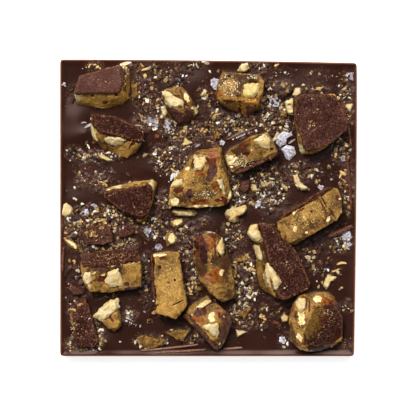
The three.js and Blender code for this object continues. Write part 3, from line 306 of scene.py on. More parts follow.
TOFFEE_BITS = [
    [(-26, 41.6), (-24.2, 42), (-23.5, 37.4), (-25.6, 36.4)],
    [(-49, -10), (-47, -10.3), (-42.4, -14.8), (-45, -14.2), (-47.5, -12.8)],
    [(0.4, 27.8), (2.6, 27.4), (4.3, 23), (2.2, 22.7)],
    [(10, -35.6), (11.6, -34.3), (14.6, -33.5), (13.5, -36), (12, -37.7)],
    [(-13.6, -8), (-12, -8), (-10.4, -10.8), (-11.6, -12), (-14, -13.3), (-14.6, -10)],
    [(-13, -4.6), (-9, -3.6), (-8.2, -4.8), (-11, -8.1), (-12, -7)],
    [(-4.2, -27.6), (-3.4, -26.6), (-1.8, -27.6), (-3.8, -28.6)],
    [(8.8, -17.4), (12.4, -16), (13.8, -18), (10, -18.4)],
    [(24.2, 32.6), (26.4, 32.8), (26.8, 30.2), (25, 30.6)],
]
CHOCOLATE_BITS = [
    [(11, 9.4), (14.5, 9.6), (13.7, 5.6), (12, 4.6), (10.2, 6)],
    [(-48, -27), (-45.2, -26.4), (-41.6, -28), (-42, -29.4), (-45.6, -29.6)],
]
SMALL_PECAN_RISE = 1.5
TOFFEE_BIT_RISE = 1.6
CHOCOLATE_BIT_RISE = 2
TOPPING_SINK = 0.25

# Flakes of salt, crazed white or clear: middle x and y, size
WHITE_FLAKES = [
    (2.4, 41.8, 4.6), (24.4, 23, 2.2), (26.6, 24.6, 1.8), (27.6, 19.4, 2.4), (26.6, 17.6, 1.6),
    (46, -9.6, 4.8), (47, -12.6, 3.2), (-42, -1.6, 3.2), (4.6, 22, 1.9), (38, 6.9, 2.4), (16.6, 1.2, 2.8),
    (25, -44.6, 2.6),
]
CLEAR_FLAKES = [
    (47.8, 44.4, 3.8), (-38.4, 0.4, 2.2), (-18.6, 28.6, 5.2), (-13.6, 28, 4), (22, 36, 4.4), (-20, -8, 4),
    (-16.8, -13.4, 2.6), (-48.8, 41.6, 1.8), (45.4, 16.6, 2.2), (-26.6, -36.8, 2.4),
]

# The two largest, which are white, have outlines of their own
SALT_OUTLINES = [
    [(22.8, 21.8), (23.2, 24.4), (25.4, 26), (27.2, 25.2), (28.1, 26), (28.3, 24.4), (26.6, 23.4),
     (26.2, 21.6), (24.2, 20.6)],
    [(24.4, 19.8), (26.4, 21.2), (29, 20.6), (29.5, 18.2), (27.4, 16), (26, 16.6), (25.4, 18.4)],
]
SALT_OUTLINE_RISE = 0.9
SALT_OUTLINE_REACH = 2.4
SALT_LAYERS = 6
SALT_LAYER_RISE = 0.17
SALT_FOOT = 1.3                 # relative size of the lowest plate, and of the others 0.54 or less
PLATE_THICKNESS = 0.16
PLATE_LEAN = 0.35
SALT_SEED = 19

# Thin shards of chocolate: the line that each follows, its width and how light it is
SHARDS = [
    ([(44.8, 37.4), (45.4, 34), (46.4, 30), (47.4, 25.6), (48.1, 20.8)], 1.2, 0.05),
    ([(46.4, 19), (47.2, 12), (47.8, 6), (48.2, -1)], 1.1, 0),
    ([(40.4, -9.8), (44, -8.4), (48.6, -6.2)], 2.3, 0.05),
    # these three along the near edge are this light partly as painted sheen
    ([(-22.8, -48.2), (-12, -47.4), (-3.4, -46.2)], 1, 0.75),
    ([(-17.6, -49), (-5, -48.2), (-0.6, -47.8)], 0.9, 0.6),
    ([(5, -47.7), (8, -47.5), (11.4, -47.2)], 0.9, 0.95),
    ([(6.2, 22.9), (10, 24.7), (16, 27.1)], 0.9, 0.35),
    ([(-49, -13.4), (-49.3, -18), (-49.2, -21.6)], 0.8, 0.3),
]
SHARD_TIP = 0.55                # a tip's width, as a share of the shard's
SHARD_LIFT = 0.2

# The larger crumbs, a patch's crumbs on a sunflower spiral: middle x and y, half widths, how many
CRUMB_PATCHES = [
    (-15, 45, 11, 4.5, 15), (-15, 22, 9, 9, 20), (-37, -3, 11, 4, 10), (-44, -25, 4.5, 22, 14),
    (23, 30, 6, 6, 10), (20, 6, 7, 7, 13), (12, -26, 4.5, 10, 10), (36, -20, 6, 7, 9), (46, 20, 3, 26, 13),
    (18, -39, 7, 6, 8), (0, 0, 47, 47, 24),
]
GOLDEN_ANGLE = 2.39996          # spreads points evenly over a patch
CRUMB_LARGEST = 2.6
CRUMB_SMALLEST = 1.3
CRUMB_REACH = 47                # no larger crumb's middle is further out than this
CRUMB_EXPOSED = 0.62            # share of a larger crumb's height above the chocolate

# Drifts of fine crumbs: middle x and y, half widths, crumbs to a square millimetre, what they are
DRIFTS = [
    (-38.5, 48.2, 2.4, 1.6, 1.6, "golden"), (-46, 39, 2.5, 3, 0.3, "dark"), (-22, 39, 4, 9, 0.8, "golden"),
    (-22, 47.5, 5, 2, 1, "golden"), (-12.5, 45.5, 6, 4, 0.7, "dark"), (-3, 48.8, 4, 0.9, 0.7, "nutty"),
    (-45.5, 18.5, 2.4, 2, 1.6, "golden"), (-38, 17.2, 8, 1.5, 1.5, "nutty"),
    (-22.5, 28.5, 3.4, 2.6, 1.4, "salty"), (-17, 33, 2.4, 5, 1.2, "golden"),
    (-15, 28, 3, 2.4, 1.2, "salty"), (-8, 25, 7, 5, 1.4, "golden"), (-13, 16, 6, 4.5, 1.5, "dark"),
    (-17, 17.4, 2, 3, 1.2, "golden"), (2, 26, 3.4, 5.4, 1.7, "golden"), (-1, 38, 2.6, 3, 0.8, "nutty"),
    (1, 34.6, 4, 2.6, 0.4, "dark"), (9.6, 28, 7, 4, 1.7, "salty"), (17, 47.6, 3.4, 1.6, 1.6, "golden"),
    (24, 42, 5, 6, 0.4, "dark"), (22, 34, 5, 4.5, 2.1, "salty"), (23, 28.4, 6, 2.8, 2.2, "nutty"),
    (38, 43, 9, 5, 0.08, "nutty"), (36, 40.3, 6, 0.9, 0.9, "salty"), (46.6, 36, 2.2, 10, 1.1, "golden"),
    (44.6, 20, 3, 5, 1.3, "salty"), (46.8, 8, 2, 11, 0.8, "golden"), (30, 12, 5, 3.4, 1.5, "dark"),
    (39, 12, 5, 4, 0.2, "nutty"), (20, 7, 6.4, 8, 1.8, "salty"), (10.6, 2.4, 4, 4, 1.2, "salty"),
    (9, 9.6, 2, 4, 1.5, "nutty"), (-42.6, 9.8, 1.8, 2.4, 1.6, "golden"),
    (-36.8, 8.6, 3, 3.2, 1.2, "golden"), (-42, 13.6, 4, 2, 0.5, "dark"),
    (-37, -3.4, 12, 3.4, 1.5, "golden"), (-45.6, -5.6, 3, 5, 1.7, "golden"),
    (-39, -12.6, 9, 2.4, 1.4, "golden"), (-29, -12, 5, 1.8, 1.6, "nutty"), (-28, -7, 4, 3, 1.2, "golden"),
    (-18.4, -6.4, 4, 4, 2, "salty"), (-15.6, 2, 1.8, 4, 1.5, "salty"), (-8, -9, 4, 5, 1.1, "golden"),
    (-1.3, -4.6, 1.2, 1.2, 1.3, "golden"), (8.6, -10, 3.6, 6, 1.6, "dark"),
    (-46, -20, 2.6, 4.6, 0.38, "salty"), (-45, -30, 3.6, 6, 0.3, "dark"),
    (-44.6, -36, 2.4, 4, 0.8, "golden"), (-38, -42, 2.4, 6, 1.6, "golden"),
    (-44, -46.4, 5, 2, 1.4, "nutty"), (-35, -29.4, 5, 0.9, 0.8, "dark"),
    (-26.6, -36.4, 2.4, 1.8, 1.2, "salty"), (-21, -34, 8, 8, 0.07, "dark"),
    (-20.8, -25, 1.5, 10, 0.8, "dark"), (-6, -20, 2, 5, 1.3, "golden"), (-5.4, -27, 2.6, 3, 1.6, "golden"),
    (11.6, -24, 4, 9, 3, "nutty"), (10.6, -32, 3.4, 4, 2, "nutty"), (12, -38.8, 5, 3, 0.5, "golden"),
    (18.6, -36.4, 4.4, 4, 0.36, "dark"), (23.4, -33.6, 4, 3.4, 0.35, "dark"),
    (34, -18, 5.4, 4.4, 0.36, "nutty"), (40, -21, 5, 4.6, 0.26, "golden"), (44.6, -11, 4, 4, 1.1, "salty"),
    (38, -13, 5, 2.6, 0.4, "dark"), (46.6, -33.4, 1.6, 1.6, 1, "golden"), (-19, -45, 6, 2.6, 0.6, "golden"),
    (-5, -44, 3, 2, 1.3, "golden"), (25.6, -45, 2, 2.4, 0.5, "salty"), (46, -46.4, 2.4, 1.2, 0.8, "nutty"),
    (0, 0, 48, 48, 0.035, "dark"), (0, 0, 48, 48, 0.012, "nutty"),
]
DRIFT_MARGIN = 1.4              # no fine crumb lies this near the slab's edge
CLUMP_SIZE = 14                 # crumbs of a drift to each of its clumps
CLUMP_SPREAD = 0.8

# Soft swells of the poured face, whose far sides catch the light: x, y, reach, height
SWELLS = [
    (-44.5, 23.5, 3.8, 1), (-41.2, 25, 1.6, 0.4), (-44.8, 31, 3.6, 0.75), (-19, 12.4, 3, 0.35),
    (-45, 1.6, 4, 0.4), (-3.5, 41.5, 3.5, 0.35), (-1.5, 30.5, 3, 0.3), (20.5, 32.5, 2.5, 0.3),
    (1, -8, 3.6, 0.4), (24.5, -4.5, 3, 0.35), (34, 37, 4, 0.15), (36, 6.5, 3, 0.2), (-36, -46, 2.4, 0.4),
    (-23, -18.5, 2, 0.2), (44, -19, 4, 0.25), (-20, -7, 3, 0.3),
]

# Shares of the kinds of crumb in a drift and in a patch of larger crumbs
CRUMB_KINDS = ("toffee", "nut", "chocolate", "skin", "salt")
MIXES = {
    "golden": (0.24, 0.13, 0.5, 0.07, 0.06),
    "nutty": (0.19, 0.24, 0.45, 0.05, 0.07),
    "dark": (0.12, 0.07, 0.72, 0.05, 0.04),
    "salty": (0.17, 0.12, 0.52, 0.04, 0.15),
    "larger": (0.26, 0.12, 0.52, 0.1, 0),
    "chocolate": (0, 0, 1, 0, 0),
}

# Pale specks that stand out, where they lie: x, y, size
PALE_SPECKS = [
    (-21.3, 17.8, 1.8), (-18, 44, 1.7), (-45, 2.9, 1.5), (-38.1, 12.2, 1.3), (-45.2, 6.6, 1.2),
    (-42.8, 1.2, 1.4), (-42.2, 9.3, 1.1), (-44.8, -8.7, 1.7), (-48.2, -8.4, 1.2), (-43.3, 19.7, 1.1),
    (-41.3, 47.4, 0.7), (-42.5, 47, 0.5), (37.6, 45, 1.2), (44, 41.2, 1), (46.3, 40.8, 1.3),
    (43.9, 37.2, 1.5), (34.8, 10.5, 1.7), (21.3, 9.7, 1.5), (25.3, 3.3, 1.2), (32.5, 14.7, 0.9),
    (37.2, 14.8, 0.9), (45, -27, 1.4), (-24.5, -39.7, 0.9), (-23, -40.1, 0.9), (-29.7, -45.3, 0.9),
    (-21.7, -16.3, 0.9), (-1, 49, 2), (-4, 48.2, 1.8), (23, 29, 1.6), (26.5, 28.3, 1.3), (18, -41.2, 0.9),
    (35.5, -17, 1.3), (31.4, -18, 0.8), (47.9, 19.5, 1.6), (-6, 26.5, 1), (5.5, 26.3, 0.8),
    (8.2, 29.4, 1.6), (-14.8, 33, 2.6), (10.2, -23, 1.5), (13.5, -30, 1.6), (15.5, -31, 2),
    (12.9, -21.4, 1.3), (9.8, -26.2, 1), (10.4, -28.2, 1), (11.4, -31.4, 1), (17.6, 10, 1.5),
    (6.5, -3, 0.8), (-8.2, -11.2, 1.4), (-14.2, -5, 1.1), (-13.4, 8.8, 0.7), (-16.2, 10.8, 0.7),
    (33, 6.2, 1.2), (19, 8, 0.7), (20.5, 2.8, 0.8), (20.2, -2, 0.7), (-28.8, -6.6, 1.1), (-31.2, -7.4, 0.9),
    (-30.8, -3.2, 0.8), (-34.4, -0.4, 1), (-48.2, -30.4, 0.8), (-46.6, -32.5, 0.6), (-40.3, -37.3, 1.1),
    (-46, -40.8, 1), (-45.4, -44.3, 0.9), (-38.8, -48.1, 0.8), (-36, -42.4, 0.8), (-39, -41.4, 1),
    (-42.9, -22.9, 0.7), (-22.4, 25.6, 0.8), (-18, 26.7, 1.6), (-16.2, 45.4, 0.9), (-14.2, 44, 1.2),
    (-12.6, 46.4, 0.8), (-7.4, 44.6, 0.8), (-21.4, 41.4, 0.8), (-26, 48.8, 0.6), (-8.4, 19.8, 1.1),
    (-9.8, 17.8, 0.9), (-13, 16.4, 0.7), (11.2, 17.8, 0.8), (16.4, 28.4, 1.2), (19.4, 36.6, 0.9),
    (29.6, 46.6, 0.5), (22.8, 45.6, 0.7), (24.6, 22.6, 0.8), (12, 2.2, 1), (28.8, -29.2, 0.5),
    (28.6, -5.7, 0.5), (46.4, -33.2, 0.7), (36.6, -24.9, 0.8), (44.3, -27.6, 0.8), (39.4, -20.8, 1),
    (45, -18.6, 0.8), (6.4, 17, 1),
]
LARGEST_GRAIN = 1.2             # a speck smaller than this is salt, and a larger one nut

# Larger tan crumbs that stand out: x, y, size
TAN_CRUMBS = [
    (3.2, 46, 1.8), (-1.3, 25.8, 1.8), (-18.5, -35.2, 1.9), (-46, 19, 2), (-47.8, 5.8, 1.3),
    (24.8, 13.6, 1.2), (-19, 37.4, 1.6), (-17.4, 36.4, 1.4), (-13.4, 24, 1.6), (-11.4, 23.6, 1.4),
    (-5.4, -19.6, 1.6), (-5.8, -17, 1.2), (11, -17, 1.8), (13, -16.6, 1.6), (5, -6.4, 1.2),
    (-43.4, 10.8, 1.6), (2.6, 31.2, 1.4), (0.8, 30.6, 1.5), (3.6, 31.6, 1.2), (-40.6, -8.6, 2.2),
    (-39.4, -9.2, 1.8), (46, 9, 1.6), (26, 6.4, 0.9), (-20, -3.8, 1), (-17.8, -3.8, 1), (42.2, -13, 1.3),
    (42.6, -11.6, 1), (28, 45.4, 0.8), (44.2, 45.4, 1), (-38, -44.4, 1.6), (-37, -45.8, 1.4),
    (-45, -34.6, 1.2), (-46.6, -34.4, 1.3), (10, 7.6, 1.4), (8.2, 9.6, 1.3), (9.4, 6.4, 1.1),
    (37.4, 9.2, 1), (35.2, -19.2, 0.9), (-24.4, -12.2, 1.4), (-28.4, -12.4, 1.5),
]

# Curled slivers: x, y, length, turn in degrees, kind
SLIVERS = [
    (-40.5, 27.8, 3.2, 30, "salt"), (-42, 28.6, 2, 5, "salt"), (-28, 48.7, 4, 12, "nut"),
    (18.2, -33.6, 3.4, 38, "toffee"), (18, -37.2, 3.2, -28, "toffee"), (42.4, -13, 3, 75, "toffee"),
    (-37, 14, 3.4, -25, "chocolate"), (-32, 12.6, 3, -50, "chocolate"), (-36.8, -4.4, 5, 6, "toffee"),
    (-41, -6.2, 2.6, -35, "toffee"), (-44.6, -13.8, 5.2, -40, "toffee"), (-6, -28, 3.2, -55, "toffee"),
    (-8.8, 45, 2.4, 80, "salt"), (22.6, 24.4, 4.4, 60, "nut"), (28.2, 22.4, 2.6, 35, "salt"),
    (19, 4.6, 2, -60, "salt"), (46.6, 3.2, 2.4, -50, "salt"), (46.8, 37, 2.6, 0, "nut"),
    (44.8, 11, 2.4, 60, "toffee"), (-27, -38.6, 2.6, -25, "salt"), (9.4, 26, 4.4, 12, "toffee"),
    (11.6, 24.6, 5, 24, "salt"), (37, 40.6, 3.6, 10, "toffee"), (-16.4, 39, 2, 0, "toffee"),
    (45, -19, 3.4, 5, "toffee"), (43, -21, 2.6, 20, "toffee"), (18.2, 10.6, 2.2, -55, "nut"),
    (-47.6, -22, 4, 60, "chocolate"), (-3.6, 21, 2.2, 30, "salt"), (-40.6, 20.6, 1.8, -65, "nut"),
    (-11.4, 10.8, 4.4, 52, "salt"), (-10.4, 10.6, 3.6, 48, "nut"), (33, 14, 2, 20, "chocolate"),
    (26.6, 10.4, 2.6, 70, "skin"), (-10.6, -4.6, 3, 10, "toffee"), (13.8, -27.4, 3, -45, "toffee"),
    (12.6, -39, 3, 10, "skin"), (-13.6, 12.8, 2.6, 20, "toffee"), (-11.6, 12.4, 3, 5, "toffee"),
]
SLIVER_LIFT = 0.45

# Crumbs that lie on the chunks: x, y, size, kind
ON_CHUNKS = [
    (-29.7, 42.2, 0.9, "salt"), (-28.6, 46.4, 1, "toffee"), (-27.6, 47, 0.9, "toffee"),
    (-29.2, 45.6, 0.8, "skin"), (-28.2, 41.6, 0.8, "nut"), (-28.8, 47.2, 0.7, "nut"),
    (40.3, 34.5, 0.8, "salt"), (34.8, 36.6, 0.6, "salt"), (-39.6, 30, 1, "nut"), (-22, 22.8, 0.8, "nut"),
    (-23.6, 22.6, 0.7, "nut"), (25.5, -27, 0.8, "salt"), (26.3, -26.4, 0.6, "nut"), (24.3, -22, 0.5, "nut"),
    (21.8, -8.3, 0.5, "nut"), (-37.6, -17.6, 0.5, "nut"), (-33.6, -18.6, 0.7, "nut"),
    (-33.8, -19.8, 0.6, "nut"), (-29.4, -19, 0.7, "nut"), (38.2, 38.8, 0.8, "nut"),
    (42.4, 38, 0.9, "toffee"), (33.4, 38, 0.8, "toffee"), (-18.6, -31.5, 0.9, "salt"),
    (3.7, -45.8, 0.7, "nut"), (5, -36.6, 1, "toffee"), (-5.6, -36, 0.9, "nut"), (40, -34.8, 1, "nut"),
    (39, -35.2, 0.8, "nut"), (42.2, -33.8, 0.7, "toffee"), (34.2, 27.4, 0.9, "toffee"),
    (35.6, 27.6, 0.7, "toffee"), (33.6, 26.6, 0.8, "toffee"), (36.6, 33, 1, "toffee"),
    (35.4, 32, 0.7, "toffee"), (-22.4, -1.4, 0.9, "toffee"), (-25, 0.2, 0.5, "toffee"),
    (14.6, 19.4, 0.7, "nut"), (11, 18, 0.9, "salt"), (7, 16.4, 1.4, "nut"), (8.6, 15.6, 1.6, "nut"),
    (6.4, 17.6, 1, "nut"), (8.8, 17.6, 1, "toffee"), (9.4, 14.4, 1.2, "toffee"), (7.8, 13.8, 1.1, "nut"),
    (9.6, 16.8, 1, "nut"), (12, 13.4, 0.7, "toffee"), (14.2, 14, 0.7, "nut"), (20.8, 16.4, 0.9, "toffee"),
    (18, 15.4, 0.7, "toffee"), (-1.2, -24, 0.5, "toffee"), (1, -16.6, 0.7, "nut"), (1, -18.8, 0.5, "nut"),
    (4.4, -21, 0.9, "nut"),
]

# Fine crumbs caught on the coats and chunks: middle x and y, half widths, how many
SPRINKLES = [
    (-33.5, -16.6, 8, 2.2, 70), (40, -37, 4, 5, 50), (25, -20, 5, 8, 55), (34, 29, 6, 8, 70),
    (-31, 27, 7, 4, 22), (-26, 2, 5, 4, 16), (-36, 42, 6, 3, 14), (-4.6, -41, 4, 2, 14),
    (-27.8, 43, 1.6, 4, 26), (16, 14.6, 6, 2, 30), (34, -2, 8, 4, 26), (-12, -27, 5, 7, 20),
    (1, -18, 3, 7, 24), (0, 8, 7, 7, 40), (-45, -40, 4, 6, 64), (-38, -9, 5, 2.6, 40),
    (31.6, 29, 0.6, 8, 34), (34.6, 28, 2, 2.4, 22), (-32, -15.6, 9, 0.8, 40),
]

# How many shapes of each kind the crumbs are drawn from, and the size from which one is coarse
FINE_SHAPES = 16
COARSE_SHAPES = 14
PLATE_SHAPES = 12
SLIVER_SHAPES = 10
COARSE = 0.8

# How much of a crumb's height is sunk in what it lies on
USUAL_SINK = 0.3
SHALLOW_SINK = 0.15
SPECK_SINK = 0.1
HEAP_CELL = 0.5                 # crumbs in one such square lie on one another
HEAP_HEIGHT = 2                 # and no higher than this above the slab
LOW_CHUNK = 1.4                 # crumbs slide off what stands higher than this above the slab

# The stage
FLOOR_GAP = 0.1                 # so that the floor and the underside don't share a plane
FLOOR_HALF = 3000
KEY_FROM = (-0.22, 0.42, 0.88)
SOFT_BOX_FROM = (-0.2, 0.64, 0.74)
PHOTO_PIXELS = 416
SLAB_PIXELS = 296               # the width of the slab in the photo
CAMERA_PIXELS = (-0.5, -0.25)   # where the photo's middle is, from the slab's
CAMERA_HEIGHT = 1500
SENSOR = 36


class SlabSettings(bpy.types.PropertyGroup):
    """The poured slab"""
    cells: IntProperty(name="Cells", description="Squares along one side of the top", default=286, min=40)
    sheen_swell: FloatProperty(name="Waves", description="Height of the waves that the sheen shows, mm",
                               default=0.1)
    lump_height: FloatProperty(name="Lumps", description="Height of chocolate over sunk crumbs, mm",
                               default=0.5)
    meniscus: FloatProperty(name="Climb", description="How far the chocolate climbs at a chunk, mm",
                            default=0.12)


class BrittleSettings(bpy.types.PropertyGroup):
    """The broken surfaces of the brittle, its coat and the pecans"""
    toffee_voxel: FloatProperty(name="Toffee detail", description="Size of the faces on toffee, mm",
                                default=0.22)
    coat_voxel: FloatProperty(name="Coat detail", description="Size of the faces on a coat, mm", default=0.24)
    pecan_voxel: FloatProperty(name="Pecan detail", description="Size of the faces on a pecan, mm",
                               default=0.18)
    relief: FloatProperty(name="Relief", description="Height of the broken relief on toffee, mm", default=0.3)
    chips: FloatProperty(name="Chips", description="Depth of the chips in broken edges, mm", default=0.55)


class CrumbSettings(bpy.types.PropertyGroup):
    """The scattered crumbs"""
    density: FloatProperty(name="Density", description="Fine crumbs, as a share of the drifts' own",
                           default=3)
    finest: FloatProperty(name="Finest", description="Size of the finest crumb, mm", default=0.26)
    coarsest: FloatProperty(name="Coarsest", description="Size of the coarsest fine crumb, mm", default=1.9)
    clump: FloatProperty(name="Clumps", description="Share of the fine crumbs that lie in clumps",
                         default=0.55)
    seed: IntProperty(name="Seed", description="Changes where the fine crumbs fall", default=11)


def colour_property(name, description, hex_colour):
    """A colour shown in the sidebar, given as an sRGB hex value."""
    return FloatVectorProperty(name=name, description=description, default=linear(hex_colour), size=4,
                               subtype="COLOR", min=0, max=1)


def linear(hex_colour):
    """An sRGB hex colour as linear red, green, blue and alpha."""
    shares = [int(hex_colour[i:i + 2], 16) / 255 for i in (1, 3, 5)]
    return (*(c / 12.92 if c <= 0.04045 else ((c + 0.055) / 1.055) ** 2.4 for c in shares), 1)


class ColourSettings(bpy.types.PropertyGroup):
    """Colours of the chocolate, toffee, pecans and salt"""
    chocolate: colour_property("Chocolate", "Dark chocolate of the slab", "#341910")
    coat: colour_property("Coat", "Dark chocolate on the brittle, where it is lightest", "#5c3c33")
    toffee_dark: colour_property("Dark toffee", "Toffee where it is thick or burnt", "#442a14")
    toffee_gold: colour_property("Gold toffee", "Toffee where it is thin or well aired", "#c09249")
    pecan: colour_property("Pecan", "Cut flesh of the pecans", "#d5c59c")
    salt: colour_property("Salt", "Flaked salt", "#dcd6de")


class StageSettings(bpy.types.PropertyGroup):
    """The floor and the studio light"""
    key: FloatProperty(name="Key light", description="Strength of the key light, W/m2", default=2.4)
    fill: FloatProperty(name="Fill light", description="Strength of the light from the sides", default=0.3)
    overhead: FloatProperty(name="Overhead", description="Strength of the light from straight above",
                            default=0.05)
    softbox: FloatProperty(name="Soft box", description="Brightness of the soft box that gives the gloss",
                           default=4)
    softness: FloatProperty(name="Softness", description="Angle that the key light fills",
                            default=math.radians(6),
                            subtype="ANGLE")


class SlabLooks(bpy.types.PropertyGroup):
    """All the settings of the slab"""
    slab: PointerProperty(type=SlabSettings)
    brittle: PointerProperty(type=BrittleSettings)
    crumbs: PointerProperty(type=CrumbSettings)
    colours: PointerProperty(type=ColourSettings)
    stage: PointerProperty(type=StageSettings)


# Materials

def add_node(tree, kind, joins=None, gives=None, **settings):
    """Adds a node with its settings, and returns its first output or the one named.

    joins maps its inputs, by name or by number, to values, hex colours or outputs of other nodes."""
    made = tree.nodes.new("ShaderNode" + kind)
    for name, value in settings.items():
        setattr(made, name, value)
    inputs = [socket for socket in made.inputs if socket.enabled]
    for name, value in (joins or {}).items():
        socket = inputs[name] if isinstance(name, int) else next(s for s in inputs if s.name == name)
        if isinstance(value, bpy.types.NodeSocket):
            tree.links.new(value, socket)
        else:
            socket.default_value = linear(value) if isinstance(value, str) else value
    return next((s for s in made.outputs if s.enabled and gives in (None, s.name)), None)


def new_material(name):
    """A new material with an empty node tree, what adds its nodes, and the place of each point of it."""
    material = bpy.data.materials.new(name)
    material.use_nodes = True
    material.node_tree.nodes.clear()
    add = partial(add_node, material.node_tree)
    return material, add, add("TexCoord", gives="Object")


def surfaced(material, joins):
    """Gives a material its shader, and returns it."""
    shader = add_node(material.node_tree, "BsdfPrincipled", joins)
    add_node(material.node_tree, "OutputMaterial", {"Surface": shader})
    return material


def per(size):
    """The scale of a texture whose pattern repeats at about this size in millimetres."""
    return 1 / (size * MM)


def layered(add, colour, layers):
    """Lays colours over one another. Each layer gives its share and its colour."""
    for share, over in layers:
        colour = add("Mix", {"Factor": share, "A": colour, "B": over}, data_type="RGBA")
    return colour


def marked(add, colour, pattern, kinds):
    """Paints marks over a colour, each from its attribute, with edges that follow the pattern.

    Each kind gives its attribute, the two colours that it is mottled with, and how much pattern and
    attribute together it takes to show: at 1.2 a mark is whole, and at 1.8 it is a scatter of specks."""
    for attribute, dark, light, threshold in kinds:
        amount = add("Attribute", gives="Fac", attribute_name=attribute)
        raised = add("Math", {0: pattern, 1: 1.5, 2: amount}, operation="MULTIPLY_ADD")
        share = add("MapRange", {"Value": raised, "From Min": threshold, "From Max": threshold + 0.16})
        lighter = add("MapRange", {"Value": pattern, "From Min": 0.38, "From Max": 0.62})
        colour = layered(add, colour, [(share, layered(add, dark, [(lighter, light)]))])
    return colour


def poured_chocolate(looks):
    """Tempered dark chocolate, poured and set.

    Smooth and a little waxy: a soft sheen on its waves, faint clouds, fine dust near the crumbs, and a
    painted glow along the lip's thin edge."""
    material, add, where = new_material("poured dark chocolate")
    cloud = add("TexNoise", {"Vector": where, "Scale": per(9), "Detail": 3})
    fine = add("TexNoise", {"Vector": where, "Scale": per(0.5), "Detail": 4, "Roughness": 0.65})
    specks = add("TexVoronoi", {"Vector": where, "Scale": per(0.55)})
    chance = add("TexNoise", {"Vector": where, "Scale": per(0.8), "Detail": 1})
    rim = add("Attribute", gives="Fac", attribute_name="rim")
    dust = add("Attribute", gives="Fac", attribute_name="dust")
    # crushed chocolate lies between the crumbs, lighter than the poured face
    rubble = add("MapRange", {"Value": fine, "From Min": 0.42, "From Max": 0.62})
    crushed = add("Math", {0: rubble, 1: dust}, operation="MULTIPLY")
    # a speck shows where a cell's middle is near and the dust is thick
    near = add("MapRange", {"Value": specks, "From Min": 0.34, "From Max": 0.2})
    chosen = add("MapRange", {"Value": chance, "From Min": 0.48, "From Max": 0.6})
    shown = add("Math", {0: near, 1: chosen}, operation="MULTIPLY")
    dusted = add("Math", {0: shown, 1: dust}, operation="MULTIPLY")
    # the lip's thin edge is painted orange brown by the rim attribute: painted glow, as if light came through
    # it
    colour = layered(add, "#200d08", [
        (cloud, looks.colours.chocolate), (rim, "#8c4a18"), (crushed, "#5a3f34"), (dusted, "#9a7a54")])
    smooth = add("MapRange", {"Value": cloud, "To Min": 0.17, "To Max": 0.26})
    rough = add("Math", {0: rim, 1: 0.3, 2: smooth}, operation="MULTIPLY_ADD")
    uneven = add("MapRange", {"Value": dust, "To Min": 0.12, "To Max": 0.7})
    bump = add("Bump", {"Height": fine, "Strength": uneven, "Distance": 0.12 * MM})
    # light that comes back through the skin of cocoa butter is brown
    return surfaced(material, {
        "Base Color": colour, "Roughness": rough, "IOR": 1.46, "Specular IOR Level": 0.8,
        "Specular Tint": (1, 0.72, 0.66, 1), "Normal": bump})


def moulded_chocolate():
    """The slab's chocolate where it set against its tray.

    Satin and even, with faint clouds: it mirrors little of the pale floor."""
    material, add, where = new_material("moulded dark chocolate")
    cloud = add("TexNoise", {"Vector": where, "Scale": per(7), "Detail": 3})
    fine = add("TexNoise", {"Vector": where, "Scale": per(0.7), "Detail": 3})
    colour = layered(add, "#220e08", [(cloud, "#40211a")])
    rough = add("MapRange", {"Value": cloud, "To Min": 0.36, "To Max": 0.5})
    bump = add("Bump", {"Height": fine, "Strength": 0.2, "Distance": 0.1 * MM})
    return surfaced(material, {
        "Base Color": colour, "Roughness": rough, "IOR": 1.46, "Specular IOR Level": 0.2, "Normal": bump})


def coat_chocolate(looks):
    """Dark chocolate brushed on brittle and broken with it.

    Matt, with a crumbly grain, paler worn edges, small scuffs, toffee dust rubbed into it, and marks of
    painted golden glow."""
    material, add, where = new_material("brushed chocolate coat")
    cloud = add("TexNoise", {"Vector": where, "Scale": per(3.5), "Detail": 4})
    grain = add("TexNoise", {"Vector": where, "Scale": per(0.5), "Detail": 3, "Roughness": 0.6})
    speck = add("TexNoise", {"Vector": where, "Scale": per(0.5), "Detail": 2})
    tone = add("Attribute", gives="Fac", attribute_name="tone")
    edge = add("Attribute", gives="Fac", attribute_name="edge")
    clouded = add("MapRange", {
        "Value": cloud, "From Min": 0.3, "From Max": 0.7, "To Min": -0.2, "To Max": 0.2})
    grained = add("MapRange", {
        "Value": grain, "From Min": 0.38, "From Max": 0.62, "To Min": -0.24, "To Max": 0.34})
    uneven = add("Math", {0: clouded, 1: grained}, operation="ADD")
    toned = add("Math", {0: tone, 1: uneven}, operation="ADD", use_clamp=True)
    fleck = add("MapRange", {"Value": speck, "From Min": 0.6, "From Max": 0.68, "To Max": 0.8})
    patchy = add("MapRange", {"Value": cloud, "From Min": 0.44, "From Max": 0.62})
    scuffed = add("Math", {0: fleck, 1: patchy}, operation="MULTIPLY")
    ragged = add("MapRange", {"Value": grain, "From Min": 0.4, "From Max": 0.56})
    rubbed = add("Math", {0: ragged, 1: edge}, operation="MULTIPLY", use_clamp=True)
    worn = layered(add, "#270e08", [
        (toned, looks.colours.coat), (scuffed, "#8a6450"), (rubbed, "#6c442e")])
    # glow marks are painted glow: gold as if light shone through toffee under the chocolate
    colour = marked(add, worn, grain, [
        ("skin", "#35140b", "#5e2712", 1.25), ("gold", "#62441a", "#9a7434", 1.2),
        ("olive", "#3c290f", "#6c4e20", 1.2), ("glow", "#864a14", "#cc9646", 1.25),
        ("dust", "#7c5430", "#b0875a", 1.81)])
    bump = add("Bump", {"Height": grain, "Strength": 0.8, "Distance": 0.16 * MM})
    return surfaced(material, {
        "Base Color": colour, "Roughness": 0.66, "IOR": 1.44, "Specular IOR Level": 0.08, "Normal": bump})


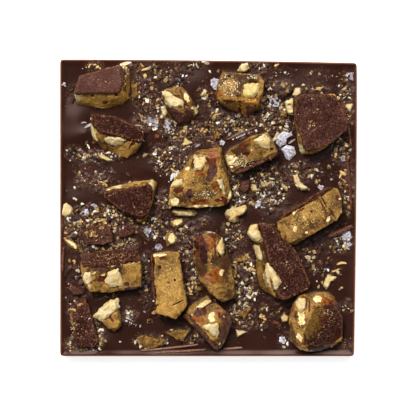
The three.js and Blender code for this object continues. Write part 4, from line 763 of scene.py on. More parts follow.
def broken_toffee(looks):
    """Butter toffee boiled to hard crack, aired, cooled and broken.

    Satin and a little see-through at thin edges, gold to olive brown, with sugar grain, burnt spots, scraps
    of nut skin, cut nuts and smears of chocolate in it. Its thin edges are painted lighter and its hollows,
    pores and cracks painted darker, as painted light and shade; its pale grain specks and its sugar are
    partly painted glints and sheen."""
    material, add, where = new_material("broken butter toffee")
    cloud = add("TexNoise", {"Vector": where, "Scale": per(4), "Detail": 4, "Distortion": 0.4})
    mottle = add("TexNoise", {"Vector": where, "Scale": per(1.1), "Detail": 4, "Roughness": 0.6})
    fine = add("TexNoise", {"Vector": where, "Scale": per(0.45), "Detail": 3, "Roughness": 0.6})
    tone = add("Attribute", gives="Fac", attribute_name="tone")
    edge = add("Attribute", gives="Fac", attribute_name="edge")
    smear_and_pore_shade = add("Attribute", gives="Fac", attribute_name="smear_and_pore_shade")
    clouded = add("MapRange", {
        "Value": cloud, "From Min": 0.3, "From Max": 0.7, "To Min": -0.3, "To Max": 0.3})
    speckled = add("MapRange", {
        "Value": fine, "From Min": 0.36, "From Max": 0.64, "To Min": -0.2, "To Max": 0.2})
    toned = add("Math", {0: tone, 1: clouded}, operation="ADD")
    uneven = add("Math", {0: toned, 1: speckled}, operation="ADD")
    # thin outer edges are painted lighter, as if lit through, and hollows painted darker: painted light and
    # shade
    edge_light_and_hollow_shade = add("Math", {0: edge, 1: 0.2, 2: uneven}, operation="MULTIPLY_ADD", use_clamp=True)
    colour = layered(add, looks.colours.toffee_dark, [(edge_light_and_hollow_shade, looks.colours.toffee_gold)])
    colour = marked(add, colour, mottle, [("grain", "#4e3212", "#664820", 1.9)])
    # the pale grain specks are sugar grain and painted glints, and the sugar marks a paler speckle that is
    # partly painted glossy sheen
    colour = marked(add, colour, fine, [
        ("grain", "#d8bc7c", "#f0e0b4", 1.8), ("sugar_and_sheen", "#a87c38", "#c8a460", 1.8)])
    colour = marked(add, colour, mottle, [
        ("russet", "#6e3a1c", "#a06a44", 1.25), ("amber", "#64300e", "#94561e", 1.2),
        ("mauve", "#3c201a", "#5a3a30", 1.2), ("cream", "#cdb070", "#ecdcaa", 1.15),
        ("skin", "#3c160a", "#622c14", 1.25), ("smear_and_pore_shade", "#220d08", "#341a10", 1.2)])
    satin = add("MapRange", {"Value": mottle, "To Min": 0.2, "To Max": 0.36})
    rough = add("Math", {0: smear_and_pore_shade, 1: 0.35, 2: satin}, operation="MULTIPLY_ADD")
    relief = add("Math", {0: fine, 1: 0.5, 2: mottle}, operation="MULTIPLY_ADD")
    bump = add("Bump", {"Height": relief, "Strength": 0.9, "Distance": 0.36 * MM})
    return surfaced(material, {
        "Base Color": colour, "Roughness": rough, "IOR": 1.5, "Specular IOR Level": 0.14, "Normal": bump,
        "Subsurface Weight": 0.2, "Subsurface Radius": (1, 0.5, 0.15), "Subsurface Scale": 0.8 * MM})


def pecan_flesh(looks):
    """Roasted pecan, chopped.

    Cut flesh is cream and waxy with fine fibres, painted darker in its hollows as shade; the thin skin left
    on it is brown and wrinkled."""
    material, add, where = new_material("chopped roasted pecan")
    cloud = add("TexNoise", {"Vector": where, "Scale": per(2.6), "Detail": 3})
    fibre = add("TexNoise", {
        "Vector": where, "Scale": per(0.55), "Detail": 4, "Roughness": 0.65, "Distortion": 0.6})
    skin = add("Attribute", gives="Fac", attribute_name="skin")
    edge = add("Attribute", gives="Fac", attribute_name="edge")
    tint = add("MapRange", {"Value": cloud, "From Min": 0.32, "From Max": 0.68})
    streak = add("MapRange", {"Value": fibre, "From Min": 0.52, "From Max": 0.66, "To Max": 0.6})
    # hollows are painted darker brown: painted shade
    hollow_shade = add("MapRange", {"Value": edge, "From Min": -0.1, "From Max": -0.8, "To Max": 0.8})
    ragged = add("MapRange", {"Value": fibre, "From Min": 0.3, "From Max": 0.48})
    covered = add("Math", {0: ragged, 1: skin}, operation="MULTIPLY", use_clamp=True)
    flesh_with_hollow_shade = layered(add, looks.colours.pecan, [
        (tint, "#cbab66"), (streak, "#b99458"), (hollow_shade, "#94652c")])
    clinging = marked(add, flesh_with_hollow_shade, fibre, [("gold", "#b0904a", "#d6c280", 1.1)])
    colour = layered(add, clinging, [(covered, "#6e3a14")])
    bump = add("Bump", {"Height": fibre, "Strength": 0.5, "Distance": 0.15 * MM})
    return surfaced(material, {
        "Base Color": colour, "Roughness": 0.36, "IOR": 1.46, "Normal": bump, "Subsurface Weight": 0.1,
        "Subsurface Radius": (1, 0.7, 0.35), "Subsurface Scale": 0.8 * MM})


def crumbly_mix():
    """Chocolate, toffee and nut crushed together.

    Matt and rough, small grains of several browns side by side."""
    material, add, where = new_material("crushed chocolate and toffee")
    cells = add("TexVoronoi", {"Vector": where, "Scale": per(1.1)}, gives="Color")
    parts = add("SeparateColor", {"Color": cells}, gives="Red")
    fine = add("TexNoise", {"Vector": where, "Scale": per(0.6), "Detail": 4, "Roughness": 0.7})
    tan = add("MapRange", {"Value": parts, "From Min": 0.74, "From Max": 0.82})
    colour = layered(add, "#27150f", [(fine, "#5a4038"), (tan, "#a07c50")])
    bump = add("Bump", {"Height": fine, "Strength": 0.9, "Distance": 0.3 * MM})
    return surfaced(material, {"Base Color": colour, "Roughness": 0.6, "IOR": 1.46, "Normal": bump})


def flaked_salt(name, pale, see_through):
    """Sea salt dried into thin flakes.

    White where it is crazed, clearer where it is whole, with glints from its flat faces."""
    material, add, where = new_material(name)
    craze = add("TexNoise", {"Vector": where, "Scale": per(0.8), "Detail": 5, "Roughness": 0.7})
    cracks = add("TexVoronoi", {"Vector": where, "Scale": per(1.5)}, feature="DISTANCE_TO_EDGE")
    lines = add("MapRange", {"Value": cracks, "From Min": 0.1, "From Max": 0, "To Max": 0.7})
    tint = add("MapRange", {"Value": craze, "From Min": 0.38, "From Max": 0.62})
    colour = layered(add, "#857d86", [(tint, pale), (lines, "#ece8ee")])
    clear = add("MapRange", {
        "Value": craze, "From Min": 0.35, "From Max": 0.6, "To Min": see_through,
        "To Max": see_through * 0.2})
    bump = add("Bump", {"Height": craze, "Strength": 0.6, "Distance": 0.15 * MM})
    return surfaced(material, {
        "Base Color": colour, "Roughness": 0.25, "IOR": 1.54, "Normal": bump, "Transmission Weight": clear})


def crumb_material(name, dark, light, roughness, see_through=0):
    """Crushed toffee, nut, chocolate, nut skin or salt.

    Each crumb has its own shade between a darker and a lighter colour, and is mottled with both, so widely
    that the mottle is painted light and shade on each crumb as well as mixed colour."""
    material, add, where = new_material(name)
    mottle = add("TexNoise", {"Vector": where, "Scale": per(0.5), "Detail": 4, "Roughness": 0.65})
    shade = add("Attribute", gives="Fac", attribute_name="shade")
    # the mottle gives each crumb a lighter and a darker part: painted light and shade as well as mixed colour
    spread = add("MapRange", {
        "Value": mottle, "From Min": 0.34, "From Max": 0.66, "To Min": -0.6, "To Max": 0.6})
    share = add("Math", {0: shade, 1: spread}, operation="ADD", use_clamp=True)
    colour = layered(add, dark, [(share, light)])
    bump = add("Bump", {"Height": mottle, "Strength": 0.7, "Distance": 0.18 * MM})
    return surfaced(material, {
        "Base Color": colour, "Roughness": roughness, "IOR": 1.5, "Specular IOR Level": 0.35, "Normal": bump,
        "Transmission Weight": see_through})


def pale_floor():
    """A matt white table that glows a little, so that it stays pale under the slab's shadow."""
    material, add, where = new_material("pale lit table")
    fine = add("TexNoise", {"Vector": where, "Scale": per(30), "Detail": 2})
    colour = layered(add, "#f4f4f4", [(fine, "#ffffff")])
    return surfaced(material, {
        "Base Color": colour, "Roughness": 0.8, "Emission Color": (1, 1, 1, 1), "Emission Strength": 0.75})


# Shapes

def ripple(points, size, seed=0):
    """Smooth noise from -1 to 1 at each point, with waves of about this size."""
    shift = Vector((seed * 17.3, seed * 5.7, seed * 11.1))
    return np.array([noise.noise(Vector(p) / size + shift) for p in points])


def slab_point(u, v):
    """The slab's outline: u and v run from -1 to 1 across it."""
    east = SLAB_HALF - EAST_SHORTFALL * (1 - v) / 2 + EDGE_BULGE * (1 - v * v)
    north = SLAB_HALF - NORTH_SHORTFALL * (1 + u) / 2 + EDGE_BULGE * (1 - u * u)
    pull = CORNER_PULL * np.clip((np.abs(u * v) - 0.97) / 0.03, 0, 1) ** 2
    x = -SLAB_HALF + (east + SLAB_HALF) * (u + 1) / 2 - np.sign(u) * pull
    y = -SLAB_HALF + (north + SLAB_HALF) * (v + 1) / 2 - np.sign(v) * pull
    return x, y


def slab_top(x, y):
    """The height of the poured top, with its long waves and its swells."""
    waves = np.sin(0.13 * x + 0.6) * np.cos(0.11 * y - 0.4) + 0.5 * np.sin(0.29 * x - 0.23 * y)
    height = SLAB_THICKNESS + SWELL_HEIGHT * waves
    for swell_x, swell_y, reach, rise in SWELLS:
        height = height + rise * np.exp(-((x - swell_x) ** 2 + (y - swell_y) ** 2) / (2 * reach * reach))
    return height


def lip(from_edge):
    """The raised lip along the slab's edge, by the distance from that edge."""
    rise = np.clip(from_edge / LIP_CREST, 0, 1)
    fall = np.clip((LIP_FOOT - from_edge) / (LIP_FOOT - LIP_CREST), 0, 1)
    return np.where(from_edge < LIP_CREST, LIP_EDGE + (LIP_HEIGHT - LIP_EDGE) * np.sin(rise * np.pi / 2),
                    LIP_HEIGHT * fall * fall * (3 - 2 * fall))


def drift_cover(x, y):
    """How thickly fine crumbs lie at points over the slab, from 0 to 1."""
    cover = np.zeros_like(x)
    for dx, dy, wide, deep, crumbs, _ in DRIFTS:
        reach = np.hypot((x - dx) / (wide + 1), (y - dy) / (deep + 1))
        cover = np.maximum(cover, np.clip((1.15 - reach) / 0.5, 0, 1) * min(1, crumbs / 1.4))
    return cover


def within(points, piece, kind, ragged):
    """1 inside a piece's marks of a kind, seen from above, and 0 outside, with ragged edges."""
    amount = np.zeros(len(points))
    for x, y, long, wide, *turn in MARKS.get(piece, {}).get(kind, ()):
        angle = math.radians(sum(turn))
        dx, dy = points[:, 0] - x, points[:, 1] - y
        along = (dx * math.cos(angle) + dy * math.sin(angle)) / long
        across = (dy * math.cos(angle) - dx * math.sin(angle)) / wide
        reach = np.hypot(along, across) + ragged
        amount = np.maximum(amount, np.clip((1.2 - reach) / 0.35, 0, 1))
    return amount


def coordinates(mesh):
    """The vertices of a mesh as an array."""
    points = np.zeros(len(mesh.vertices) * 3)
    mesh.vertices.foreach_get("co", points)
    return points.reshape(-1, 3)


def normals(mesh):
    """The vertex normals of a mesh as an array."""
    ways = np.zeros(len(mesh.vertices) * 3)
    mesh.vertex_normals.foreach_get("vector", ways)
    return ways.reshape(-1, 3)


def move_to(mesh, points):
    """Sets the vertices of a mesh."""
    mesh.vertices.foreach_set("co", points.ravel())
    mesh.update()


def store(mesh, name, values):
    """Keeps one number at each vertex for the materials to read."""
    mesh.attributes.new(name, "FLOAT", "POINT").data.foreach_set("value", np.asarray(values, np.float32))


def mesh_of(bm, name):
    """A mesh from a bmesh, which is freed."""
    mesh = bpy.data.meshes.new(name)
    bm.to_mesh(mesh)
    bm.free()
    return mesh


def linked(name, data):
    """A new object in the scene."""
    made = bpy.data.objects.new(name, data)
    bpy.context.scene.collection.objects.link(made)
    return made


def made_from(data, voxel=None):
    """The mesh of a curve, or a mesh remade of even squares of this size."""
    block = linked("block", data)
    if voxel:
        remesh = block.modifiers.new("even squares", "REMESH")
        remesh.mode = "VOXEL"
        remesh.voxel_size = voxel
    made = bpy.data.meshes.new_from_object(block.evaluated_get(bpy.context.evaluated_depsgraph_get()))
    bpy.data.objects.remove(block)
    return made


def evened(bm, size, rounds=1):
    """A closed bmesh remade of small even squares, smoothed a few rounds."""
    mesh = mesh_of(bm, "block")
    made = made_from(mesh, size)
    bpy.data.meshes.remove(mesh)
    soft = bmesh.new()
    soft.from_mesh(made)
    for _ in range(rounds):
        bmesh.ops.smooth_vert(soft, verts=soft.verts, factor=0.5, use_axis_x=True, use_axis_y=True,
                              use_axis_z=True)
    soft.to_mesh(made)
    soft.free()
    return made


def nodes_shape(nodes):
    """A copy of CAD nodes in millimetres, their triangles still loose."""
    bm = bmesh.new()
    for node in nodes:
        bm.from_mesh(NODES[node].data)
    bmesh.ops.scale(bm, vec=(1 / MM,) * 3, verts=bm.verts)
    return bm


def surface_of(nodes):
    """A surface of CAD nodes, for finding heights and distances in millimetres."""
    bm = nodes_shape(nodes)
    tree = BVHTree.FromBMesh(bm)
    bm.free()
    return tree


def broken_node(node, voxel, break_form, rounds=1):
    """A CAD node remade of small even squares and broken, and its vertices."""
    bm = nodes_shape([node])
    bmesh.ops.remove_doubles(bm, verts=bm.verts, dist=MERGED)
    mesh = evened(bm, voxel, rounds)
    broken(mesh, *break_form)
    return mesh, coordinates(mesh)


def finish_piece(mesh, name, material, slot=None, stands_for=("slab",), smooth=True):
    """Makes a mesh in millimetres a piece of the slab, in metres."""
    mesh.name = name
    mesh.transform(Matrix.Scale(MM, 4))
    mesh.polygons.foreach_set("use_smooth", [smooth] * len(mesh.polygons))
    mesh.materials.clear()
    mesh.materials.append(material)
    mesh.update()
    piece = linked(name, mesh)
    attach(piece, "root")
    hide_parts(*stands_for)
    return piece


def nodes_named(start):
    """The CAD nodes whose names start like this, in order."""
    return sorted(name for name in NODES if name.startswith(start))


CHUNKS = surface_of(name for name in sorted(NODES) if name != "slab")


def chunk_top(x, y):
    """The height of what stands on the slab over a point, or None beside it."""
    hit = CHUNKS.ray_cast(Vector((x, y, SKY)), Vector((0, 0, -1)))[0]
    return hit.z if hit else None


def make_slab(looks):
    """The poured slab: waves, lip, lumps over sunk crumbs, and a climb at each chunk."""
    cells = looks.slab.cells
    bm = bmesh.new()
    rim_glow_layer = bm.verts.layers.float.new("rim")
    bmesh.ops.create_grid(bm, x_segments=cells, y_segments=cells, size=1)
    u, v = np.array([vert.co[:2] for vert in bm.verts]).T
    x, y = slab_point(u, v)
    x, y = x + np.sign(u) * SLAB_GROWTH * u * u, y + np.sign(v) * SLAB_GROWTH * v * v
    flat = np.stack([x, y, np.zeros_like(x)], axis=1)
    from_edge = (1 - np.maximum(np.abs(u), np.abs(v))) * SLAB_HALF
    cover = drift_cover(x, y)
    waves = ripple(flat, WAVE_SIZE) + 0.35 * ripple(flat, WAVE_SIZE / 3, 1)
    lumps = np.clip((ripple(flat, LUMP_SIZE, 2) - 0.05) / 0.5, 0, 1) * cover
    uneven = LIP_USUAL + LIP_UNEVEN * ripple(flat, LIP_WAVE, 4)
    height = slab_top(x, y) + lip(from_edge) * uneven + looks.slab.sheen_swell * waves
    height += looks.slab.lump_height * lumps + GRIT_HEIGHT * ripple(flat, GRIT_SIZE, 3) * cover
    for i, vert in enumerate(bm.verts):
        spot = Vector((x[i], y[i], height[i]))
        near = CHUNKS.find_nearest(spot, 3 * CLIMB_REACH)[3]
        if near is not None:
            wetted = looks.slab.meniscus * (0.5 + 0.9 * noise.noise(spot / CLIMB_WAVE))
            spot.z += wetted * math.exp(-(near / CLIMB_REACH) ** 2)
        vert.co = spot
        vert[rim_glow_layer] = max(0, 1 - from_edge[i] / RIM_GLOW_WIDTH)
    rim = [edge for edge in bm.edges if edge.is_boundary]
    for inset, level in SIDE_RINGS:
        grown = bmesh.ops.extrude_edge_only(bm, edges=rim)["geom"]
        rim = [item for item in grown if isinstance(item, bmesh.types.BMEdge)]
        ring = [item for item in grown if isinstance(item, bmesh.types.BMVert)]
        for vert in ring:
            reach = max(abs(vert.co.x), abs(vert.co.y))
            vert.co.xy *= (reach - inset) / reach
            vert.co.z = level
            vert[rim_glow_layer] = RIM_SIDE_GLOW if level > 5 else 0
    bmesh.ops.pointmerge(bm, verts=ring, merge_co=(0, 0, 0))
    bmesh.ops.recalc_face_normals(bm, faces=bm.faces)
    moulded = [min(vert.co.z for vert in face.verts) < POURED_ABOVE for face in bm.faces]
    mesh = mesh_of(bm, "slab")
    points = coordinates(mesh)
    store(mesh, "dust", drift_cover(points[:, 0], points[:, 1]))
    piece = finish_piece(mesh, "poured_slab", poured_chocolate(looks), "chocolate")
    piece.data.materials.append(moulded_chocolate())
    piece.data.polygons.foreach_set("material_index", np.array(moulded, np.int32))


def smoothed(mesh, points, rounds=8):
    """The points of a mesh, each moved halfway to the middle of its neighbours a few times."""
    ends = np.zeros(len(mesh.edges) * 2, np.int32)
    mesh.edges.foreach_get("vertices", ends)
    one, other = ends.reshape(-1, 2).T
    neighbours = np.bincount(ends, minlength=len(points))
    for _ in range(rounds):
        sums = [np.bincount(one, points[other, axis], len(points))
                + np.bincount(other, points[one, axis], len(points)) for axis in range(3)]
        points = (points + np.stack(sums, axis=1) / neighbours[:, None]) / 2
    return points


def broken(mesh, proud, chips, steps):
    """Moves a surface out by a little, roughens it by noise of each size and height, and chips its edges.

    Keeps in the attribute edge how sharp the surface is: 1 at an outer edge, -1 in a hollow."""
    points, ways = coordinates(mesh), normals(mesh)
    edge = np.clip(((points - smoothed(mesh, points)) * ways).sum(axis=1) / 0.1, -1, 1)
    shift = np.full(len(points), float(proud))
    for i, (size, height) in enumerate(steps):
        shift += height * ripple(points, size, i)
    shift -= chips * np.clip(edge, 0, 1) * np.clip(ripple(points, CHIP_SIZE, 7) * 2.4, -0.3, 1)
    move_to(mesh, points + ways * shift[:, None])
    points, ways = coordinates(mesh), normals(mesh)
    store(mesh, "edge", np.clip(((points - smoothed(mesh, points, 6)) * ways).sum(axis=1) / 0.08, -1, 1))


def make_toffee(looks):
    """The toffee of the sixteen chunks, broken faces with pores, cracks and what is set in them."""
    material = broken_toffee(looks)
    brittle = looks.brittle
    coats = surface_of(nodes_named("coat_"))
    for number, lightness in TOFFEE_TONES.items():
        node = f"toffee_{number}"
        relief = brittle.relief * ROUGHER.get(number, 1)
        waves = [(size, relief * share) for size, share in TOFFEE_WAVES]
        mesh, points = broken_node(node, brittle.toffee_voxel, (TOFFEE_PROUD, brittle.chips, waves))
        ragged = 0.6 * ripple(points, 1.5, 5) + 0.35 * ripple(points, 0.6, 6)
        holes = np.maximum(within(points, node, "pore", 0), within(points, node, "crack", 0))
        move_to(mesh, points - normals(mesh) * holes[:, None] * PORE_DEPTH)
        tone = lightness + GOLD_LIGHTER * within(points, node, "gold", ragged)
        store(mesh, "tone", tone - DARK_DARKER * within(points, node, "dark", ragged))
        for kind in ("skin", "cream", "grain", "sugar_and_sheen", "amber", "mauve", "russet"):
            store(mesh, kind, within(points, node, kind, ragged))
        # chocolate has run over the toffee's edge beside the coat, and wets its foot
        beside = np.array([coats.find_nearest(point)[3] for point in points])
        run = np.clip((RUN.get(number, USUAL_RUN) + 0.7 * ragged - beside) / 0.3, 0, 1)
        foot = np.clip((SLAB_THICKNESS + WET_FOOT + 0.8 * ragged - points[:, 2]) / 0.4, 0, 1)
        smear_and_pore_shade = within(points, node, "smear_and_pore_shade", ragged)
        # pores and cracks are painted dark with the smear's colour too: painted shade in them
        store(mesh, "smear_and_pore_shade", np.maximum.reduce([smear_and_pore_shade, holes, run, foot]))
        finish_piece(mesh, f"broken_toffee_{number}", material, "toffee", [node])


def make_coats(looks):
    """The chocolate coats on the chunks and the low coated pieces."""
    material = coat_chocolate(looks)
    for number, lightness in COAT_TONES.items():
        node = f"coat_{number}"
        mesh, points = broken_node(node, looks.brittle.coat_voxel, COAT_BREAK)
        ragged = 0.6 * ripple(points, 0.9, 4)
        for kind in ("dust", "gold", "skin", "olive", "glow"):
            store(mesh, kind, within(points, node, kind, ragged))
        store(mesh, "tone", np.full(len(points), lightness))
        finish_piece(mesh, f"chocolate_coat_{number}", material, "coat", [node])
    for node, lightness in LOW_COAT_TONES.items():
        mesh, points = broken_node(node, looks.brittle.coat_voxel, LOW_COAT_BREAK)
        dust = np.clip(ripple(points, 1.6, 6) * 2 - 0.3, 0, 0.8)
        rubbed = 1.2 * within(points, node, "dust", 0.4 * ripple(points, 0.9, 4))
        store(mesh, "dust", np.maximum(dust, rubbed))
        store(mesh, "tone", lightness + 0.3 * ripple(points, 3, 7))
        finish_piece(mesh, f"low_{node}", material, "coat", [node])


def make_pecans(looks):
    """The pecan pieces set in the chunks and the loose ones."""
    material = pecan_flesh(looks)
    for node in nodes_named("pecan_") + nodes_named("loose_pecan"):
        mesh, points = broken_node(node, looks.brittle.pecan_voxel, PECAN_BREAK, rounds=2)
        ragged = 0.35 * ripple(points, 0.9, 4)
        # skin shows round the foot of each piece
        height = (points[:, 2] - points[:, 2].min()) / np.ptp(points[:, 2])
        foot = np.clip((SKIN_FOOT - height + ragged * 0.6) / 0.1, 0, 1)
        store(mesh, "skin", np.maximum(within(points, node, "skin", ragged), foot * SKIN_COVER))
        store(mesh, "gold", within(points, node, "gold", ragged))
        finish_piece(mesh, f"chopped_{node}", material, "pecan", [node])


def make_low_pieces(looks):
    """The crumbly pieces and the thin toffee flakes."""
    crumbly = crumbly_mix()
    flake = broken_toffee(looks)
    for node in nodes_named("crumbly_piece"):
        mesh, _ = broken_node(node, CRUMBLY_VOXEL, CRUMBLY_BREAK)
        finish_piece(mesh, f"low_{node}", crumbly, "crumbly", [node])
    for node in nodes_named("toffee_flake"):
        mesh, points = broken_node(node, FLAKE_VOXEL, FLAKE_BREAK)
        store(mesh, "tone", 0.2 + 0.35 * ripple(points, 2, 3))
        store(mesh, "grain", np.clip(ripple(points, 1.6, 4) * 2.4, 0, 0.8))
        finish_piece(mesh, f"thin_{node}", flake, "flake", [node])


def topping_top(x, y):
    """The height of the large salt flakes over a point, or 0 beside them."""
    near = min((Vector((x, y)) - Vector(np.mean(outline, axis=0))).length for outline in SALT_OUTLINES)
    return SLAB_THICKNESS + 0.7 * SALT_OUTLINE_RISE if near < SALT_OUTLINE_REACH else 0


def add_lump(bm, outline, rise):
    """Adds a low lump with this outline, standing in the slab."""
    middle = Vector(np.mean(outline, axis=0))
    level = float(slab_top(*middle))
    foot = bm.faces.new([bm.verts.new((x, y, level - TOPPING_SINK)) for x, y in outline])
    for lift, share in ((TOPPING_SINK + 0.35 * rise, 1), (0.65 * rise, 0.7)):
        made = bmesh.ops.extrude_face_region(bm, geom=[foot])["geom"]
        foot = next(item for item in made if isinstance(item, bmesh.types.BMFace))
        bmesh.ops.translate(bm, verts=foot.verts, vec=(0, 0, lift))
        for vert in foot.verts:
            vert.co.xy = middle + (vert.co.xy - middle) * share


def broken_lumps(outlines, rise, voxel, break_form):
    """All the lumps of a kind as one broken mesh of small even faces, and its vertices."""
    bm = bmesh.new()
    for outline in outlines:
        add_lump(bm, outline, rise)
    bmesh.ops.recalc_face_normals(bm, faces=bm.faces)
    mesh = evened(bm, voxel)
    broken(mesh, *break_form)
    return mesh, coordinates(mesh)


def make_small_toppings(looks):
    """The small pecans, toffee bits and chocolate bits that stand in the slab."""
    pecans, points = broken_lumps(SMALL_PECANS, SMALL_PECAN_RISE, SMALL_PECAN_VOXEL, SMALL_PECAN_BREAK)
    low = np.clip((SLAB_THICKNESS + 0.5 - points[:, 2]) / 0.3, 0, 1)
    store(pecans, "skin", np.maximum(low * 0.7, np.clip(ripple(points, 2.2, 8) * 3 - 1, 0, 1)))
    finish_piece(pecans, "small_pecans", pecan_flesh(looks), "pecan")
    toffee, points = broken_lumps(TOFFEE_BITS, TOFFEE_BIT_RISE, TOFFEE_BIT_VOXEL, TOFFEE_BIT_BREAK)
    store(toffee, "tone", 0.32 + 0.35 * ripple(points, 3, 2))
    store(toffee, "grain", np.clip(ripple(points, 1.5, 4) * 2, 0, 1))
    store(toffee, "cream", within(points, "toffee_bits", "cream", 0.6 * ripple(points, 0.9, 5)))
    finish_piece(toffee, "toffee_bits", broken_toffee(looks), "toffee")
    chocolate, points = broken_lumps(CHOCOLATE_BITS, CHOCOLATE_BIT_RISE, CHOCOLATE_BIT_VOXEL,
                                     CHOCOLATE_BIT_BREAK)
    store(chocolate, "tone", np.full(len(points), 0.5))
    finish_piece(chocolate, "chocolate_bits", coat_chocolate(looks), "coat")


def add_plate(bm, draws, middle, size, uneven=0.22, thickness=PLATE_THICKNESS):
    """Adds a thin plate with uneven corners, leaning a little."""
    made = bmesh.ops.create_circle(bm, cap_ends=True, segments=draws.randint(4, 6), radius=size / 2)
    face = made["verts"][0].link_faces[0]
    stretch = draws.uniform(0.6, 1)
    for vert in face.verts:
        vert.co.xy *= draws.uniform(1 - uneven, 1 + uneven)
        vert.co.y *= stretch
    shape = list(face.verts)
    grown = bmesh.ops.extrude_face_region(bm, geom=[face])["geom"]
    top = next(item for item in grown if isinstance(item, bmesh.types.BMFace))
    bmesh.ops.translate(bm, verts=top.verts, vec=(0, 0, thickness))
    shape += list(top.verts)
    turn = Euler((draws.uniform(-PLATE_LEAN, PLATE_LEAN), draws.uniform(-PLATE_LEAN, PLATE_LEAN),
                  draws.uniform(0, math.tau)))
    bmesh.ops.transform(bm, matrix=Matrix.Translation(middle) @ turn.to_matrix().to_4x4(), verts=shape)


def make_salt_flakes(looks):
    """The flakes of salt: stacks of thin uneven plates, the lowest the widest."""
    draws = random.Random(SALT_SEED)
    kinds = (("white", looks.colours.salt, 0.12, WHITE_FLAKES, SALT_OUTLINES),
             ("clear", "#b0a8b0", 0.5, CLEAR_FLAKES, ()))
    for kind, pale, see_through, flakes, outlines in kinds:
        bm = bmesh.new()
        for outline in outlines:
            add_lump(bm, outline, SALT_OUTLINE_RISE)
        for x, y, size in flakes:
            level = max(float(slab_top(x, y)), topping_top(x, y)) + 0.1
            for layer in range(SALT_LAYERS):
                share = SALT_FOOT if layer == 0 else 0.6 - 0.06 * layer
                spread = size * 0.36 * (SALT_FOOT - share)
                middle = Vector((x + draws.uniform(-spread, spread), y + draws.uniform(-spread, spread),
                                 level + SALT_LAYER_RISE * layer))
                add_plate(bm, draws, middle, size * share * 0.85, uneven=0.15)
        bmesh.ops.recalc_face_normals(bm, faces=bm.faces)
        material = flaked_salt(f"{kind} salt flakes", pale, see_through)
        finish_piece(mesh_of(bm, kind), f"{kind}_salt_flakes", material, smooth=False)


def make_shards():
    """The thin shards of chocolate, tapering to both ends."""
    whole = bmesh.new()
    shades = []
    for line, width, shade in SHARDS:
        curve = bpy.data.curves.new("shard", "CURVE")
        curve.dimensions = "3D"
        curve.bevel_depth = width / 2
        curve.bevel_resolution = 1
        curve.use_fill_caps = True
        curve.resolution_u = 10
        spline = curve.splines.new("NURBS")
        spline.points.add(len(line) - 1)
        spline.use_endpoint_u = True
        spline.order_u = 3
        for point, (x, y) in zip(spline.points, line):
            point.co = (x, y, max(float(slab_top(x, y)), chunk_top(x, y) or 0) + SHARD_LIFT + width / 2, 1)
            point.radius = SHARD_TIP if (x, y) in (line[0], line[-1]) else 1
        mesh = made_from(curve)
        one = bmesh.new()
        one.from_mesh(mesh)
        bmesh.ops.remove_doubles(one, verts=one.verts, dist=MERGED)
        bmesh.ops.recalc_face_normals(one, faces=one.faces)
        one.to_mesh(mesh)
        one.free()
        whole.from_mesh(mesh)
        shades += [shade] * len(mesh.vertices)
    mesh = mesh_of(whole, "shards")
    broken(mesh, *SHARD_BREAK)
    store(mesh, "shade", shades)
    material = crumb_material("curled chocolate shard", "#501e0c", "#9a7058", 0.42)
    finish_piece(mesh, "chocolate_shards", material, "coat")


# Crumbs

def crumb_shape(draws, fineness):
    """An angular crumb about one unit across: a ball with flat facets struck off."""
    bm = bmesh.new()
    bmesh.ops.create_icosphere(bm, subdivisions=fineness, radius=0.55)
    for _ in range(6):
        way = Vector([draws.gauss(0, 1) for _ in range(3)]).normalized()
        depth = draws.uniform(0.16, 0.36)
        for vert in bm.verts:
            vert.co -= way * max(0, vert.co.dot(way) - depth)
    bmesh.ops.dissolve_limit(bm, angle_limit=0.06, verts=bm.verts, edges=bm.edges)
    return arrays_of(bm)


def plate_shape(draws):
    """A thin flake about one unit across, with uneven corners."""
    bm = bmesh.new()
    add_plate(bm, draws, Vector((0, 0, -PLATE_THICKNESS / 2)), 1)
    bmesh.ops.recalc_face_normals(bm, faces=bm.faces)
    return arrays_of(bm)


def sliver_shape(draws):
    """A bent sliver one unit long."""
    bm = bmesh.new()
    bmesh.ops.create_grid(bm, x_segments=6, y_segments=1, size=0.5)
    curl = draws.uniform(-0.16, 0.2)
    for vert in bm.verts:
        taper = draws.uniform(0.8, 1.2) - 2.4 * vert.co.x ** 2
        bend = curl * (1 - 4 * vert.co.x ** 2)
        vert.co = Vector((vert.co.x, vert.co.y * 0.26 * taper + bend, 0.25 * abs(bend)))
    bmesh.ops.solidify(bm, geom=bm.faces, thickness=0.09)
    bmesh.ops.recalc_face_normals(bm, faces=bm.faces)
    return arrays_of(bm)


def arrays_of(bm):
    """The vertices and triangles of a bmesh, which is freed."""
    bmesh.ops.triangulate(bm, faces=bm.faces)
    bm.verts.index_update()
    points = np.array([vert.co for vert in bm.verts])
    triangles = np.array([[vert.index for vert in face.verts] for face in bm.faces])
    bm.free()
    return points, triangles


def joined(name, placed):
    """One mesh of many placed shapes. Each row is a shape, its matrix and its shade."""
    points, triangles, shades = [], [], []
    start = 0
    for (shape_points, shape_triangles), matrix, shade in placed:
        m = np.array(matrix)
        points.append(shape_points @ m[:3, :3].T + m[:3, 3])
        triangles.append(shape_triangles + start)
        shades.append(np.full(len(shape_points), shade))
        start += len(shape_points)
    mesh = bpy.data.meshes.new(name)
    mesh.from_pydata(np.concatenate(points), [], np.concatenate(triangles))
    store(mesh, "shade", np.concatenate(shades))
    return mesh


